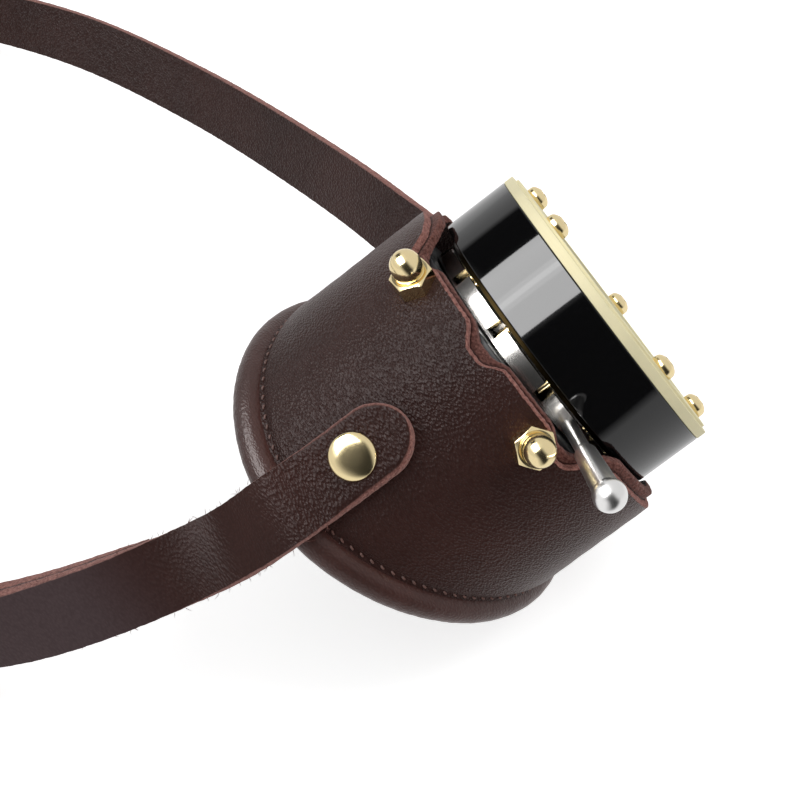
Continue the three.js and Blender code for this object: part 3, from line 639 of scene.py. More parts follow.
def cupBolt(index, angle):
    phi = fullTurn(72)[:, None]
    bottom, top = bolt["head"]
    hexR, hexZ = hexRows(phi, bolt["across"], bottom, top)
    shank = bolt["shank"] + 0 * phi
    r = join(0 * phi, hexR, shank, shank, 0 * phi, axis=1)
    z = join([bottom], hexZ, [top, bolt["end"], bolt["end"]])
    body = shell(placed(polar(r, phi, z), radialFrame(temple + angle, wall["boltZ"])), loopV=False)
    makePiece(f"cupBolt{index + 1}", [body], brass, [f"cup_bolt_{index + 1}"], crease=30)


for index, angle in enumerate(wall["boltAngles"]):
    acornNut(index, angle)
    cupBolt(index, angle)
print("bolts and nuts:", len(wall["boltAngles"]))


# iris housing, turned: every outline is (radius, height along the axis); a band is (inner radius, outer
# radius, rear, front, rounding)
housing = {
    "radius": 28.0, "chamber": 26.0, "front": 12.35, "chamberFront": 8.5, "lip": (20.2, 9.1), "lens": 22.0,
    "lensGap": 0.2, "lensZ": (9.2, 9.5, 11.2), "lensRims": (21.6, 21.7), "lensRise": 0.7,
    "postAngles": (105, 166, 194, 255), "postCircle": 26.5, "post": (1.3, -4.4, 0.9),
    "postHead": (1.45, -14.3, -13.6), "ring": (20.0, 26.9, 28.0), "ringZ": (12.4, 14.2, 14.7),
    "seal": (20.4, 22.0, 11.6, 12.3, 0.2), "plate": (18.4, 25.7, 7.3, 8.2, 0.12),
    "washer": (22.8, 24.9, -0.95, -0.15, 0.1),
    "mount": ((29.0, -4.7), (29.0, -14), (24.6, -14), (24.6, -5.9), (20.3, -5.9), (20.3, -4.7)),
}


def bandOutline(inner, outer, rear, front, rounding):
    return rounded([(inner, rear), (outer, rear), (outer, front), (inner, front)], rounding)


def ironwork():
    h = housing
    lip, lipZ = h["lip"]
    seat = h["lens"] + h["lensGap"]
    drum = rounded([(h["radius"], 0), (h["radius"], h["front"]), (seat, h["front"]), (seat, lipZ),
                    (lip, lipZ), (lip, h["chamberFront"]), (h["chamber"], h["chamberFront"]),
                    (h["chamber"], 0)], 0.22)
    postFrames = [axialFrame(temple + a, h["postCircle"]) for a in h["postAngles"]]
    post = bandOutline(0, *h["post"], 0.15)
    posts = [turned(post, where, 24) for where in postFrames]
    makePiece("irisDrum", [turned(drum, cupFrame, 256), *posts], glossBlack, ["drum"])
    inner, step, outer = h["ring"]
    z0, z1, z2 = h["ringZ"]
    ring = rounded([(inner, z0), (outer, z0), (outer, z1), (step, z1), (step, z2), (inner, z2)], 0.16)
    rear, bevel, rim = h["lensZ"]
    flat, crown = h["lensRims"]
    domed = [(r, rim + h["lensRise"] * (1 - (r / h["lens"]) ** 2)) for r in np.linspace(crown, 0, 16)]
    window = np.array([(0, rear), (flat, rear), (h["lens"], bevel), (h["lens"], rim), *domed])
    for name, outline, segments, finish, node in (
            ("frontRing", ring, 256, paleBrass, "front_ring"),
            ("window", window, 160, windowGlass, "lens"),
            ("windowSeal", bandOutline(*h["seal"]), 160, sealRubber, "lens_gasket"),
            ("pivotPlate", bandOutline(*h["plate"]), 160, brass, "pivot_plate"),
            ("bearingWasher", bandOutline(*h["washer"]), 200, shadePaintedBrass, "bearing_washer"),
            ("mountingRing", rounded(h["mount"], 0.25), 200, satinBlack, "mounting_ring")):
        makePiece(name, [turned(outline, cupFrame, segments)], finish, [node])
    head = bandOutline(0, *h["postHead"], 0.3)
    for i, where in enumerate(postFrames):
        makePiece(f"postScrew{i + 1}", [turned(head, where, 32)], satinBlack, [f"post_screw_{i + 1}"])


ironwork()
print("iris housing")


# front screw: a domed head with a cross recess; height = dome less a smooth cross of two bars; soft is
# (overhang of a bar's flank, its run, run at a bar's end), and lip is (inset of the foot, edge's height)
frontScrew = {
    "count": 5, "start": 32, "circle": 24.5, "radius": 2.25, "seat": 14.68, "rise": 2.15, "edge": 0.75,
    "bar": 0.30, "reach": 1.3, "depth": 0.9, "soft": (0.09, 0.16, 0.4), "lip": (0.1, 0.12), "turn": 25,
}


def frontScrews():
    f = frontScrew
    phi = fullTurn(128)[:, None]
    r = join(np.linspace(0, 0.72, 26), np.linspace(0.75, 1, 10))[None, :] * f["radius"]
    dome = f["edge"] + (f["rise"] - f["edge"]) * np.sqrt(np.clip(1 - (r / f["radius"]) ** 2, 0, 1))
    x, y = np.abs(r * np.cos(phi)), np.abs(r * np.sin(phi))
    over, flank, tip = f["soft"]
    arms = [smooth((f["bar"] + over - a) / flank) * smooth((f["reach"] - b) / tip)
            for a, b in ((y, x), (x, y))]
    top = dome - f["depth"] * np.maximum(*arms)
    inset, edge = f["lip"]
    radius = join(r + 0 * phi, f["radius"] + 0 * phi, f["radius"] - inset + 0 * phi, 0 * phi, axis=1)
    z = join(top, edge + 0 * phi, 0 * phi, 0 * phi, axis=1)
    local = polar(radius, phi + np.radians(f["turn"]), z + f["seat"])
    for i in range(f["count"]):
        where = axialFrame(f["start"] + 360 / f["count"] * i, f["circle"])
        head = shell(placed(local, where), loopV=False)
        makePiece(f"frontScrew{i + 1}", [head], brass, [f"front_screw_{i + 1}"], crease=50)


frontScrews()
print("front screws:", frontScrew["count"])


# slotted ring: at each land the section is full, at each slot it drops to the slot's floor; a slot's two
# walls stand at half its width from its middle line, so their angle depends on the radius
slotted = {
    "inner": 16.6, "outer": 24.8, "front": -1.25, "rear": -4.3, "journal": 20.0, "end": -6.0, "floor": -3.7,
    "slotFrom": 18.2, "halfWidth": 1.1, "slots": 12, "first": 10.5, "landSteps": 14, "slotSteps": 5,
    "bevel": 0.12,
}


def slottedRing():
    k = slotted
    b = k["bevel"]
    inner, outer, front, floor = k["inner"], k["outer"], k["front"], k["floor"]
    rim = [(outer, k["rear"]), (k["journal"], k["rear"]), (k["journal"], k["end"]), (inner, k["end"]),
           (inner, front - b), (inner + b, front)]
    start = (k["slotFrom"], front)
    land = np.array([start, start, (outer - b, front), (outer, front - b), *rim])
    slot = np.array([start, (k["slotFrom"], floor), (outer - b, floor), (outer, floor), *rim])
    pitch = 360 / k["slots"]
    middle = k["first"] + pitch * np.arange(k["slots"])[:, None, None]
    edge = np.degrees(np.arcsin(k["halfWidth"] / np.maximum(land[:, 0], k["slotFrom"])))[None, None, :]
    landAngle = middle + edge + np.linspace(0, 1, k["landSteps"])[None, :, None] * (pitch - 2 * edge)
    slotAngle = middle + np.linspace(-1, 1, k["slotSteps"])[None, :, None] * edge
    angles = join(slotAngle, landAngle, axis=1).reshape(-1, len(land))
    section = join(np.tile(slot, (k["slotSteps"], 1, 1)), np.tile(land, (k["landSteps"], 1, 1)))
    section = np.tile(section, (k["slots"], 1, 1))
    points = onCup(angles, section[..., 0], section[..., 1])
    # the slot floors are marked as a recess, which the nickel finish paints near black: painted shade in the
    # slots
    onFloor = np.isin(np.arange(len(slot)), (1, 2, 3))
    low = join(repeated(onFloor, k["slotSteps"]), np.zeros((k["landSteps"], len(land))))
    makePiece("slottedRing", [shell(points)], nickel, ["slotted_ring"], body="iris_ring", crease=25,
              raw=repeated(low, k["slots"]).reshape(-1), mark="recess")


slottedRing()


# lever: a turned rod on a thinner stud, that swells outwards and ends in a ball
lever = {
    "angle": 27.5, "z": -2.6, "ball": 48.0, "ballRadius": 2.75, "rod": (1.3, 1.9, 2.25),
    "swell": (33.2, 34.9), "stud": (1.0, 21.9, 24.7), "rodFrom": (24.75, 26.0),
}


def irisLever():
    v = lever
    thin, full, thick = v["rod"]
    start = np.arccos(-np.sqrt(v["ballRadius"] ** 2 - thick ** 2) / v["ballRadius"])
    t = np.linspace(start, 0, 24)
    ball = np.stack([v["ballRadius"] * np.sin(t), v["ball"] + v["ballRadius"] * np.cos(t)], -1)
    t = np.linspace(0, 1, 8)[:, None]
    first, last = v["swell"]
    flare = np.hstack([thin + (full - thin) * smooth(t), first + (last - first) * t])
    rod = np.hstack([full + (thick - full) * t, last + (ball[0, 1] - 0.1 - last) * t])[1:]
    radius, inner, outer = v["stud"]
    stud = np.array([(0, inner), (radius, inner), (radius, outer), *((thin, z) for z in v["rodFrom"])])
    outline = join(stud, flare, rod, ball)
    rodShell = turned(outline, radialFrame(v["angle"], v["z"]), 48)
    makePiece("irisLever", [rodShell], chrome, ["iris_lever"], body="iris_ring", crease=50)


irisLever()
print("slotted ring and lever")


# blade: a flat band of even width along an arc, round at both ends, sinking along a helix from root to tip;
# it is then turned about its pivot to the closed place and set round the axis
blade = {"count": 12, "circle": 21.3, "width": 7.0, "least": 0.05, "thick": 0.2, "span": 145.0, "steps": 60,
         "drop": 5.6, "tip": 0.8, "closed": 35.0, "pin": 0.7, "pinTop": 8.0, "pinEnd": -3.4}


def turnLocal(points, angle, centre=(0.0, 0.0)):
    c, s = np.cos(np.radians(angle)), np.sin(np.radians(angle))
    x, y = points[..., 0] - centre[0], points[..., 1] - centre[1]
    return np.stack([centre[0] + c * x - s * y, centre[1] + s * x + c * y, points[..., 2]], -1)


# pin of a blade: a plain cylinder at an angle on the blades' circle
def bladePin(angle, z0, z1):
    b = blade
    foot = polar(b["circle"], np.radians(angle), 0.0)
    radius, z = np.array([0, b["pin"], b["pin"], 0]), np.array([z0, z0, z1, z1])
    return foot + polar(radius, fullTurn(20)[:, None], z)


def irisBlades():
    b = blade
    half, root = b["width"] / 2, b["tip"] + b["drop"]
    q = quarterTurn(9)[:-1]
    ends, endAngle = half * np.sin(q), np.degrees(half * np.cos(q) / b["circle"])
    u = join(-endAngle, np.linspace(0, b["span"], b["steps"]), (b["span"] + endAngle)[::-1])
    w = np.maximum(join(ends, np.full(b["steps"], half), ends[::-1]), b["least"])
    height = b["tip"] + b["drop"] * (1 - u / b["span"])
    side, face = np.array([-1, 0, 1, 1, 0, -1]), np.array([-1, -1, -1, 1, 1, 1])
    r = b["circle"] + w[:, None] * side
    band = polar(r, np.radians(u)[:, None], height[:, None] + face * b["thick"] / 2)
    shapes = [(band, True), (bladePin(0, root, b["pinTop"]), False),
              (bladePin(b["span"], b["pinEnd"], b["tip"]), False)]
    for i in range(b["count"]):
        around = slotted["first"] - 90 - (b["span"] + 2 * b["closed"]) + 360 / b["count"] * i
        parts = []
        for points, isBand in shapes:
            local = turnLocal(turnLocal(points, b["closed"], (b["circle"], 0.0)), around)
            parts.append(shell(placed(local, cupFrame), loopU=not isBand, loopV=isBand, caps=isBand))
        node = f"iris_blade_{i + 1:02d}"
        makePiece(f"irisBlade{i + 1:02d}", parts[:2], bladeSteel, [node], body=node, crease=25)
        makePiece(f"drivePin{i + 1:02d}", parts[2:], brass, body=node, crease=40)


irisBlades()
print("blades:", blade["count"])


# rivet: a domed cap with a small flat rim on a shank, and a plate inside; the dome's radius and height are
# powers of a quarter circle's cosine and sine
rivet = {
    "cap": 4.0, "seat": 35.72, "rim": 0.45, "rise": 1.15, "askew": 6.0, "shank": 1.5, "plate": 3.4,
    "back": 29.05, "plateThick": 0.8, "bevels": (0.25, 0.15), "powers": (0.62, 0.9), "near": (3.4, -32.0),
    "far": (180, -8.5),
}


def capOutline(cap, seat, rim, rise, shank, plate, back):
    t = quarterTurn(14)
    flat, full = rivet["powers"]
    dome = np.stack([cap * np.cos(t) ** flat, seat + rim + rise * np.sin(t) ** full], -1)
    dome[-1, 0] = 0.0
    below = back - rivet["plateThick"]
    plateBevel, capBevel = rivet["bevels"]
    foot = [(0, below), (plate - plateBevel, below), (plate, below + plateBevel), (plate, back),
            (shank, back), (shank, seat), (cap - capBevel, seat), (cap, seat + capBevel)]
    return join(np.array(foot), dome)


def cupRivets():
    k = rivet
    outline = capOutline(*(k[key] for key in ("cap", "seat", "rim", "rise", "shank", "plate", "back")))
    for side in ("near", "far"):
        turn, z = k[side]
        origin, _, _, out = radialFrame(temple + turn, z)
        lean = radialFrame(temple + turn + k["askew"], z)[1:]
        where = (origin + k["seat"] * mm * (out - lean[2]), *lean)
        makePiece(f"{side}Rivet", [turned(outline, where, 72)], brass, [f"{side}_rivet"], crease=32)


cupRivets()
print("rivets: 2")


# smooth curve through stations: cubics with slopes weighted by the square roots of their distances
def throughPoints(points, per=40):
    p = np.vstack([2 * points[0] - points[1], points, 2 * points[-1] - points[-2]])
    p0, p1, p2, p3 = p[:-3], p[1:-2], p[2:-1], p[3:]
    d0, d1, d2 = (np.sum((b - a) ** 2, 1, keepdims=True) ** 0.25 for a, b in ((p0, p1), (p1, p2), (p2, p3)))
    d1 = np.where(d1 < 1e-4, 1.0, d1)
    d0, d2 = np.where(d0 < 1e-4, d1, d0), np.where(d2 < 1e-4, d1, d2)
    m1 = ((p1 - p0) / d0 - (p2 - p0) / (d0 + d1) + (p2 - p1) / d1) * d1
    m2 = ((p2 - p1) / d1 - (p3 - p1) / (d1 + d2) + (p3 - p2) / d2) * d1
    t = np.linspace(0, 1, per, endpoint=False)[None, :, None]
    p1, p2, m1, m2 = (a[:, None] for a in (p1, p2, m1, m2))
    run = p1 + m1 * t + (3 * (p2 - p1) - 2 * m1 - m2) * t ** 2 + (2 * (p1 - p2) + m1 + m2) * t ** 3
    return np.vstack([run.reshape(-1, 3), points[-1:]])


# run of a strap: (curve through its centres, directions across it, length along it), in millimetres from
# the drum's rear centre
def strapRun(centres, across):
    path = throughPoints(centres)
    steps = np.linalg.norm(np.diff(path, axis=0), axis=1)
    return path, throughPoints(across), join([0], np.cumsum(steps))


# centre, direction along, direction across and direction out of the face, at lengths s along a run
def onRun(run, s):
    path, widths, arc = run

    def pick(values):
        return np.stack([np.interp(s, arc, values[:, k]) for k in range(3)], -1)

    along = unit(pick(np.gradient(path, arc, axis=0)))
    across = pick(widths)
    across = unit(across - np.sum(across * along, -1, keepdims=True) * along)
    return pick(path), along, across, np.cross(along, across)


def toScene(points):
    return cupOrigin + mm * points


# strap: a flat section whose edges are quarter circles on one face and a sloping cut on the other, carried
# along a run; an end is round where asked, so the width there is that of a circle; the first end may be
# slimmer by neck, and the last end narrows smoothly by tuck, mostly on one side; the slope is (width at the
# tip, height), and level is its width further on; cutAt is (start, run) of the raw
# edge round each kind of corner
strap = {
    "width": 13.2, "thick": 2.8, "edge": 0.3, "slope": (0.70, 1.6), "level": 0.18, "levelFrom": (9, 16),
    "step": 0.9, "pitch": 3.1, "onWall": 34.3, "neck": (0.35, 45, 80), "tuck": (1.5, 34), "tuckOther": 0.15,
    "fray": 0.05, "crown": 0.06, "cutAt": ((0.7, 0.6), (0.15, 0.4)), "edgeSteps": 5, "faceSteps": 9,
}


def strapBody(run, roundStart, roundEnd, neck=0.0, tuck=0.0):
    half, thick, e = strap["width"] / 2, strap["thick"] / 2, strap["edge"]
    length = run[2][-1]
    ease = half * (1 - np.cos(quarterTurn(14)))
    s = join(ease, np.arange(half + 0.5, length - half - 0.5, strap["step"]), length - ease[::-1])
    centre, _, across, out = onRun(run, s)
    q, flat = quarterTurn(strap["edgeSteps"]), np.linspace(-1, 1, strap["faceSteps"])
    even, edges = np.ones(len(flat)), np.ones(2 * len(q))
    side = join(flat, edges, -flat, -edges)

    def circle(d):
        return np.sqrt(np.clip(half ** 2 - (half - np.minimum(d, half)) ** 2, 0.02, None))

    _, neckFrom, neckTo = strap["neck"]
    slim = neck * (1 - smooth((s - neckFrom) / (neckTo - neckFrom)))
    narrowing = tuck * smooth((s - length) / strap["tuck"][1] + 1)[:, None]
    tucked = narrowing * np.where(side < 0, 1.0, strap["tuckOther"])
    ends = circle(s) if roundStart else half, circle(length - s) if roundEnd else half
    w = np.minimum(*ends) * (1 - slim / half)
    tip, down = strap["slope"]
    face = join(thick * even, thick - e + e * np.cos(q), -thick + down - down * np.sin(q), -thick * even,
                -thick + down - down * np.cos(q), thick - e + e * np.sin(q))
    levelAt, levelRun = strap["levelFrom"]
    lean = (strap["level"] + (tip - strap["level"]) * (1 - smooth((s - levelAt) / levelRun)))[:, None]
    plain = np.ones((len(s), 1))
    inset = join(plain * (e * even), plain * (e - e * np.sin(q)), lean * (1 - np.cos(q)), lean * even,
                 lean * (1 - np.sin(q)), plain * (e - e * np.cos(q)), axis=1)
    cut, slopeCut = (smooth((q - start) / reach) for start, reach in strap["cutAt"])
    raw = join(0 * even, cut, slopeCut[::-1], 0 * even, slopeCut, cut[::-1])
    fray = strap["fray"] * np.sin(s * 2.3) * np.sin(s * 0.9 + 1)
    wide = np.abs(side) * ((w + fray)[:, None] - tucked) - inset * np.abs(side) ** 6
    reach = np.sign(side) * np.maximum(wide, 0)
    crown = strap["crown"] * (1 - side ** 2) * np.sign(face) * (np.abs(face) > thick - 0.01)
    lift = (face + crown)[None, :, None]
    points = centre[:, None] + across[:, None] * reach[..., None] + out[:, None] * lift
    return points, np.broadcast_to(raw, points.shape[:2]).reshape(-1)


# box with round ends that cuts an oblong hole; its cut faces count as raw edge
def holeCutter(name, where, length, width, depth):
    t = fullTurn(48)[None, :]
    x = np.cos(t) * width / 2 + np.sign(np.cos(t)) * (length - width) / 2
    z = np.array([-depth / 2, depth / 2])[:, None]
    points = np.stack(np.broadcast_arrays(x, np.sin(t) * width / 2, z), -1)
    cutter = shell(placed(points, where), loopU=False, caps=True)
    return addObject(name, makeMesh(name, [cutter], np.ones(len(cutter[0]))))


def cutHoles(piece, cutters):
    for cutter in cutters:
        change = piece.modifiers.new("hole", "BOOLEAN")
        change.operation, change.solver, change.object = "DIFFERENCE", "EXACT", cutter
    whole = bpy.context.evaluated_depsgraph_get()
    result = bpy.data.meshes.new_from_object(piece.evaluated_get(whole))
    piece.modifiers.clear()
    piece.data = result
    for cutter in cutters:
        bpy.data.objects.remove(cutter)


# buckle: its bar stands upright at a place of its own, and x runs from the bar to the frame's far end; the
# oblong holes are (length, width), and the depths are those of the cutters
buckle = {
    "bar": (-139.6, -34.9, -29.0), "heading": 166.0, "length": 20.0, "half": 8.55, "wire": 1.25,
    "corner": 3.0, "prong": 1.0, "eyeGap": 0.3, "prongOver": 1.6, "prongTip": 0.7, "taper": 0.3,
    "fold": 3.1, "foldEase": 0.4, "back": (14, 20, 26, 33, 41, 49, 57, 64, 70), "hole": (14.4, 3.2),
    "foldHole": 11.0, "holePitch": 22.0, "usedHole": 38.0, "spare": 3, "depths": (14.0, 24.0, 8.0),
}
buckleTurn = np.radians(buckle["heading"])
buckleAlong = np.array([np.cos(buckleTurn), np.sin(buckleTurn), 0.0])
buckleOut = np.array([-buckleAlong[1], buckleAlong[0], 0.0])
buckleFrame = (toScene(np.array(buckle["bar"])), buckleAlong, buckleOut, up)


def inBuckle(places):
    s, m = np.asarray(places, float).T
    return np.array(buckle["bar"]) + s[:, None] * buckleAlong + m[:, None] * buckleOut


# frame of a hole through the straps at the buckle, by millimetres along and out from its bar
def holeFrame(along, out):
    return (buckleFrame[0] + mm * (along * buckleAlong + out * buckleOut), buckleAlong, up, -buckleOut)


# short strap: along the temple side, over the roll, down to the table, round the bar and back inside
# itself; wall stations are (height along the axis, lift), free ones (place, direction across), and those at
# the buckle (along, out)
layer = strap["pitch"] / 2
nearWall = np.array([(-21.6, 0), (-28, 0), (-37, 0), (-41.8, 0.7), (-46.6, 1.9)])
nearFree = np.array([(-54.1, -38.1, -9.4, -0.35, 0.75, 0.56), (-74.9, -42.3, -17.7, -0.07, 0.46, 0.885),
                     (-94.0, -42.2, -25.7, 0.03, 0.25, 0.967), (-108.0, -42.4, -27.9, 0.05, 0.14, 0.99)])
nearBuckle = [(-23, layer), (-15, layer), (-8, layer + buckle["foldEase"])]
nearSide = temple + rivet["near"][0]
nearCentres = np.vstack([cupLocal(nearSide, strap["onWall"] + nearWall[:, 1], nearWall[:, 0]) @ turnCup,
                         nearFree[:, :3], inBuckle(nearBuckle)])
nearAcross = np.vstack([repeated(outwards(nearSide - 90), len(nearWall)), nearFree[:, 3:],
                        repeated(up, len(nearBuckle))])
nearRun = strapRun(nearCentres, nearAcross)
nearLength = nearRun[2][-1]


def shortStrap():
    t = np.radians([90, 60, 30, 0, -30, -60, -90])
    turn = inBuckle(np.stack([buckle["fold"] * np.cos(t), buckle["fold"] * np.sin(t)], -1))
    leave = inBuckle([(-8, -layer - buckle["foldEase"])])
    centre, _, across, out = onRun(nearRun, nearLength - np.array(buckle["back"], float))
    centres = np.vstack([nearCentres, turn, leave, centre + strap["pitch"] * out])
    run = strapRun(centres, np.vstack([nearAcross, repeated(up, len(turn) + 1), across]))
    points, raw = strapBody(run, True, False, strap["neck"][0], strap["tuck"][0])
    piece = makePiece("shortStrap", [shell(toScene(points), loopU=False, caps=True)], shortLeather,
                      ["buckle_strap"], raw=raw)
    size = buckle["foldHole"], buckle["hole"][1], buckle["depths"][0]
    cutHoles(piece, [holeCutter("prongSlot", holeFrame(1.0, 0.0), *size)])


shortStrap()


# loose fibres on the cut edges of the short strap: thin tapered hairs that lean along the strap and curl;
# height is how far from the middle of the edge they root, and lean and curl are spreads along and out
fibre = {
    "count": 80, "from": 20.0, "to": 96.0, "length": (0.25, 0.95), "root": 0.25, "radius": 0.055,
    "height": 0.9, "lean": (0.6, 0.5), "curl": (0.35, 0.35), "taper": (1, 1, 0.9, 0.7, 0.4), "raw": 0.55,
    "seed": 7,
}


def strapFibres():
    k = fibre
    rng = np.random.default_rng(k["seed"])
    n, steps = k["count"], len(k["taper"])
    s = rng.uniform(k["from"], k["to"], n)
    edge = rng.choice([-1.0, 1.0], n)[:, None]
    centre, along, across, out = onRun(nearRun, s)
    high = rng.uniform(-k["height"], k["height"], n)[:, None]
    root = centre + across * edge * (strap["width"] / 2 - k["root"]) + out * high
    leanAlong, leanOut = (rng.normal(0, amount, n)[:, None] for amount in k["lean"])
    lean = unit(across * edge + along * leanAlong + out * leanOut)
    curlAlong, curlOut = (rng.normal(0, amount, n)[:, None] for amount in k["curl"])
    curl = along * curlAlong + out * curlOut
    long = rng.uniform(*k["length"], n)[:, None, None] + k["root"]
    t = np.linspace(0, 1, steps)[None, :, None]
    path = root[:, None] + long * (t * lean[:, None] + t ** 2 * curl[:, None])
    side = unit(np.cross(lean, along + 0.3 * out))
    radius = mm * k["radius"] * np.array(k["taper"])
    shells = [tube(toScene(p), repeated(a, steps), repeated(b, steps), radius, 3, False)
              for p, a, b in zip(path, side, np.cross(lean, side))]
    count = sum(len(points) for points, _ in shells)
    makePiece("strapFibres", shells, shortLeather, raw=np.full(count, k["raw"]))


strapFibres()


# long strap: round the nose side, in a loop on the table, and out through the buckle; wall stations are
# (angle, lift), those on the table (place, direction across), and those at the buckle (along, out)
farWall = np.array([(-10, 0), (0, 0), (10, 0), (17, 0.7)])
farTable = np.array([
    (-12.8, 40.9, -17.3, 0.66, 0.24, 0.71), (-28.0, 64.5, -17.9, 0.43, 0.20, 0.88),
    (-48.2, 96.0, -23.3, 0.28, 0.39, 0.88), (-74.6, 128.9, -27.6, 0.23, 0.44, 0.87),
    (-104.2, 154.2, -28.2, 0.20, 0.42, 0.89), (-131.6, 172.8, -30.7, 0.11, 0.24, 0.96),
    (-160, 185, -32.2, 0, 0, 1), (-186, 182, -32.2, 0, 0, 1), (-205, 164, -32.2, 0, 0, 1),
    (-213, 135, -32.2, 0, 0, 1), (-214, 100, -32.2, 0, 0, 1), (-212, 66, -32.2, 0, 0, 1),
    (-206, 37, -31.6, 0, 0, 1), (-197, 11, -30.6, 0, 0, 1), (-183, -10, -29.4, 0, 0, 1)])
farBuckle = [(28, -3.5), (20, -3.4), (11.5, 0.9), (3, 6.1), (-4, 6.2), (-12, 4.8), (-27, 4.75)]


def longStrap():
    turn, z = rivet["far"]
    onWall = cupLocal(temple + turn + farWall[:, 0], strap["onWall"] + farWall[:, 1], z) @ turnCup
    across = np.vstack([repeated(cupAxis, len(farWall)), farTable[:, 3:], repeated(up, len(farBuckle))])
    run = strapRun(np.vstack([onWall, farTable[:, :3], inBuckle(farBuckle)]), across)
    length = run[2][-1]
    points, raw = strapBody(run, True, True)
    piece = makePiece("longStrap", [shell(toScene(points), loopU=False, caps=True)], strapLeather,
                      ["long_strap"], raw=raw)
    _, usedDepth, spareDepth = buckle["depths"]
    cutters = [holeCutter("usedHole", holeFrame(8, 2), *buckle["hole"], usedDepth)]
    for i in range(buckle["spare"]):
        centre, *directions = onRun(run, length - buckle["usedHole"] - buckle["holePitch"] * (i + 1))
        where = (toScene(centre), *directions)
        cutters.append(holeCutter(f"spareHole{i}", where, *buckle["hole"], spareDepth))
    cutHoles(piece, cutters)
    print("long strap:", round(float(length)), "mm")


longStrap()


# a shell in the buckle's frame from one in millimetres
def atBuckle(points, faces):
    return placed(points, buckleFrame), faces


# buckle's frame: a wire carried round a rectangle with round corners
def buckleWire():
    k = buckle
    near, far = k["corner"], k["length"] - k["corner"]
    cornerX = np.array([near, far, far, near])[:, None]
    cornerZ = (k["half"] - k["corner"]) * np.array([-1, -1, 1, 1])[:, None]
    turn = quarterTurn(10)[None, :] + np.pi + np.pi / 2 * np.arange(4)[:, None]
    out = np.stack([np.cos(turn), 0 * turn, np.sin(turn)], -1).reshape(-1, 3)
    centres = np.stack([cornerX + 0 * turn, 0 * turn, cornerZ + 0 * turn], -1).reshape(-1, 3)
    wire = tube(centres + k["corner"] * out, out, repeated([0.0, 1.0, 0.0], len(out)), k["wire"])
    makePiece("buckleFrame", [atBuckle(*wire)], brass, ["buckle_frame"])


# prong: a ring round the bar, and a pin that tapers evenly to a round tip
def buckleProng():
    k = buckle
    eye = k["wire"] + k["eyeGap"] + k["prong"]
    a = fullTurn(48)
    ringOut = polar(1.0, a, 0 * a)
    ring = tube(eye * ringOut, ringOut, repeated(up, len(a)), k["prong"] * 0.98)
    long, tip = k["length"] + k["prongOver"], k["prongTip"]
    x = join(np.linspace(0, long - tip, 20), long - tip + tip * np.sin(np.linspace(0.2, np.pi / 2, 6)))
    radius = k["prong"] * (1 - k["taper"] * x / long)
    radius[-6:] *= np.cos(np.linspace(0.2, np.pi / 2 - 0.05, 6))
    path = np.stack([x, np.full(len(x), eye), 0 * x], -1)
    pin = tube(path, repeated([0.0, 1.0, 0.0], len(x)), repeated(up, len(x)), radius, loop=False)
    makePiece("buckleProng", [atBuckle(*ring), atBuckle(*pin)], brass, ["buckle_prong"], body="prong")


# keeper: a leather band with a round-cornered section carried round a rectangle; gaps are those to the
# straps inside, outside and at their edges
keeper = {
    "thick": 1.5, "width": 7.0, "at": -19.0, "gaps": (0.6, 0.3, 0.3), "tail": 4.8, "corner": 0.9,
    "edge": 0.3,
}


def strapKeeper():
    k = keeper
    half, wide = k["thick"] / 2, k["width"] / 2
    inside, outside, beside = k["gaps"]
    low = -layer - strap["thick"] / 2 - inside - half
    high = k["tail"] + strap["thick"] / 2 + outside + half
    tall = strap["width"] / 2 + beside + half
    loop = rounded([(low, -tall), (high, -tall), (high, tall), (low, tall)], k["corner"], 8)
    step = unit(np.roll(loop, -1, 0) - np.roll(loop, 1, 0))
    normal = np.stack([step[:, 1], -step[:, 0]], -1)
    section = rounded([(-wide, -half), (wide, -half), (wide, half), (-wide, half)], k["edge"], 4)
    band = loop[:, None] + section[None, :, 1:2] * normal[:, None]
    along = np.broadcast_to(k["at"] + section[None, :, :1], (*band.shape[:2], 1))
    raw = np.broadcast_to((np.abs(section[:, 0]) > wide - 0.2).astype(float), band.shape[:2]).reshape(-1)
    loopShell = atBuckle(*shell(join(along, band, axis=-1)))
    makePiece("strapKeeper", [loopShell], strapLeather, ["strap_keeper"], raw=raw)


# fold rivet: a smaller rivet through both layers of the short strap
foldCap = {"at": 25.0, "gap": 0.25, "cap": 3.2, "rim": 0.4, "rise": 0.9, "shank": 1.4, "plate": 2.8}


def foldRivet():
    k = foldCap
    centre, along, _, inward = onRun(nearRun, nearLength - k["at"])
    where = (toScene(centre), along, np.cross(-inward, along), -inward)
    seat = strap["thick"] / 2 + k["gap"]
    outline = capOutline(k["cap"], seat, k["rim"], k["rise"], k["shank"], k["plate"], -strap["pitch"] - seat)
    makePiece("foldRivet", [turned(outline, where, 48)], brass, ["fold_rivet"], crease=32)


buckleWire()
buckleProng()
strapKeeper()
foldRivet()
print("straps and buckle")


# dim side of the room, which gloss mirrors: round the drum's axis by an angle range, and near its cross
# plane by the share of the direction that lies along the axis; 1 in it and 0 outside
dimSide = {"angles": (-19, 66), "soft": 3.0, "along": (0.30, 0.62), "level": 0.03}


def dimMask(tree, direction, angles, along):
    x, y, slant = (vectorMaths(tree, "DOT_PRODUCT", direction, tuple(v)) for v in (cupX, -cupY, cupAxis))
    turn = maths(tree, "ARCTAN2", x, y)
    low, high = np.radians(angles)
    soft = np.radians(dimSide["soft"])
    rise = remap(tree, turn, (low - soft, low + soft))
    fall = remap(tree, turn, (high + soft, high - soft))
    near = remap(tree, maths(tree, "ABSOLUTE", slant), (along[1], along[0]))
    return maths(tree, "MULTIPLY", maths(tree, "MULTIPLY", rise, fall), near)


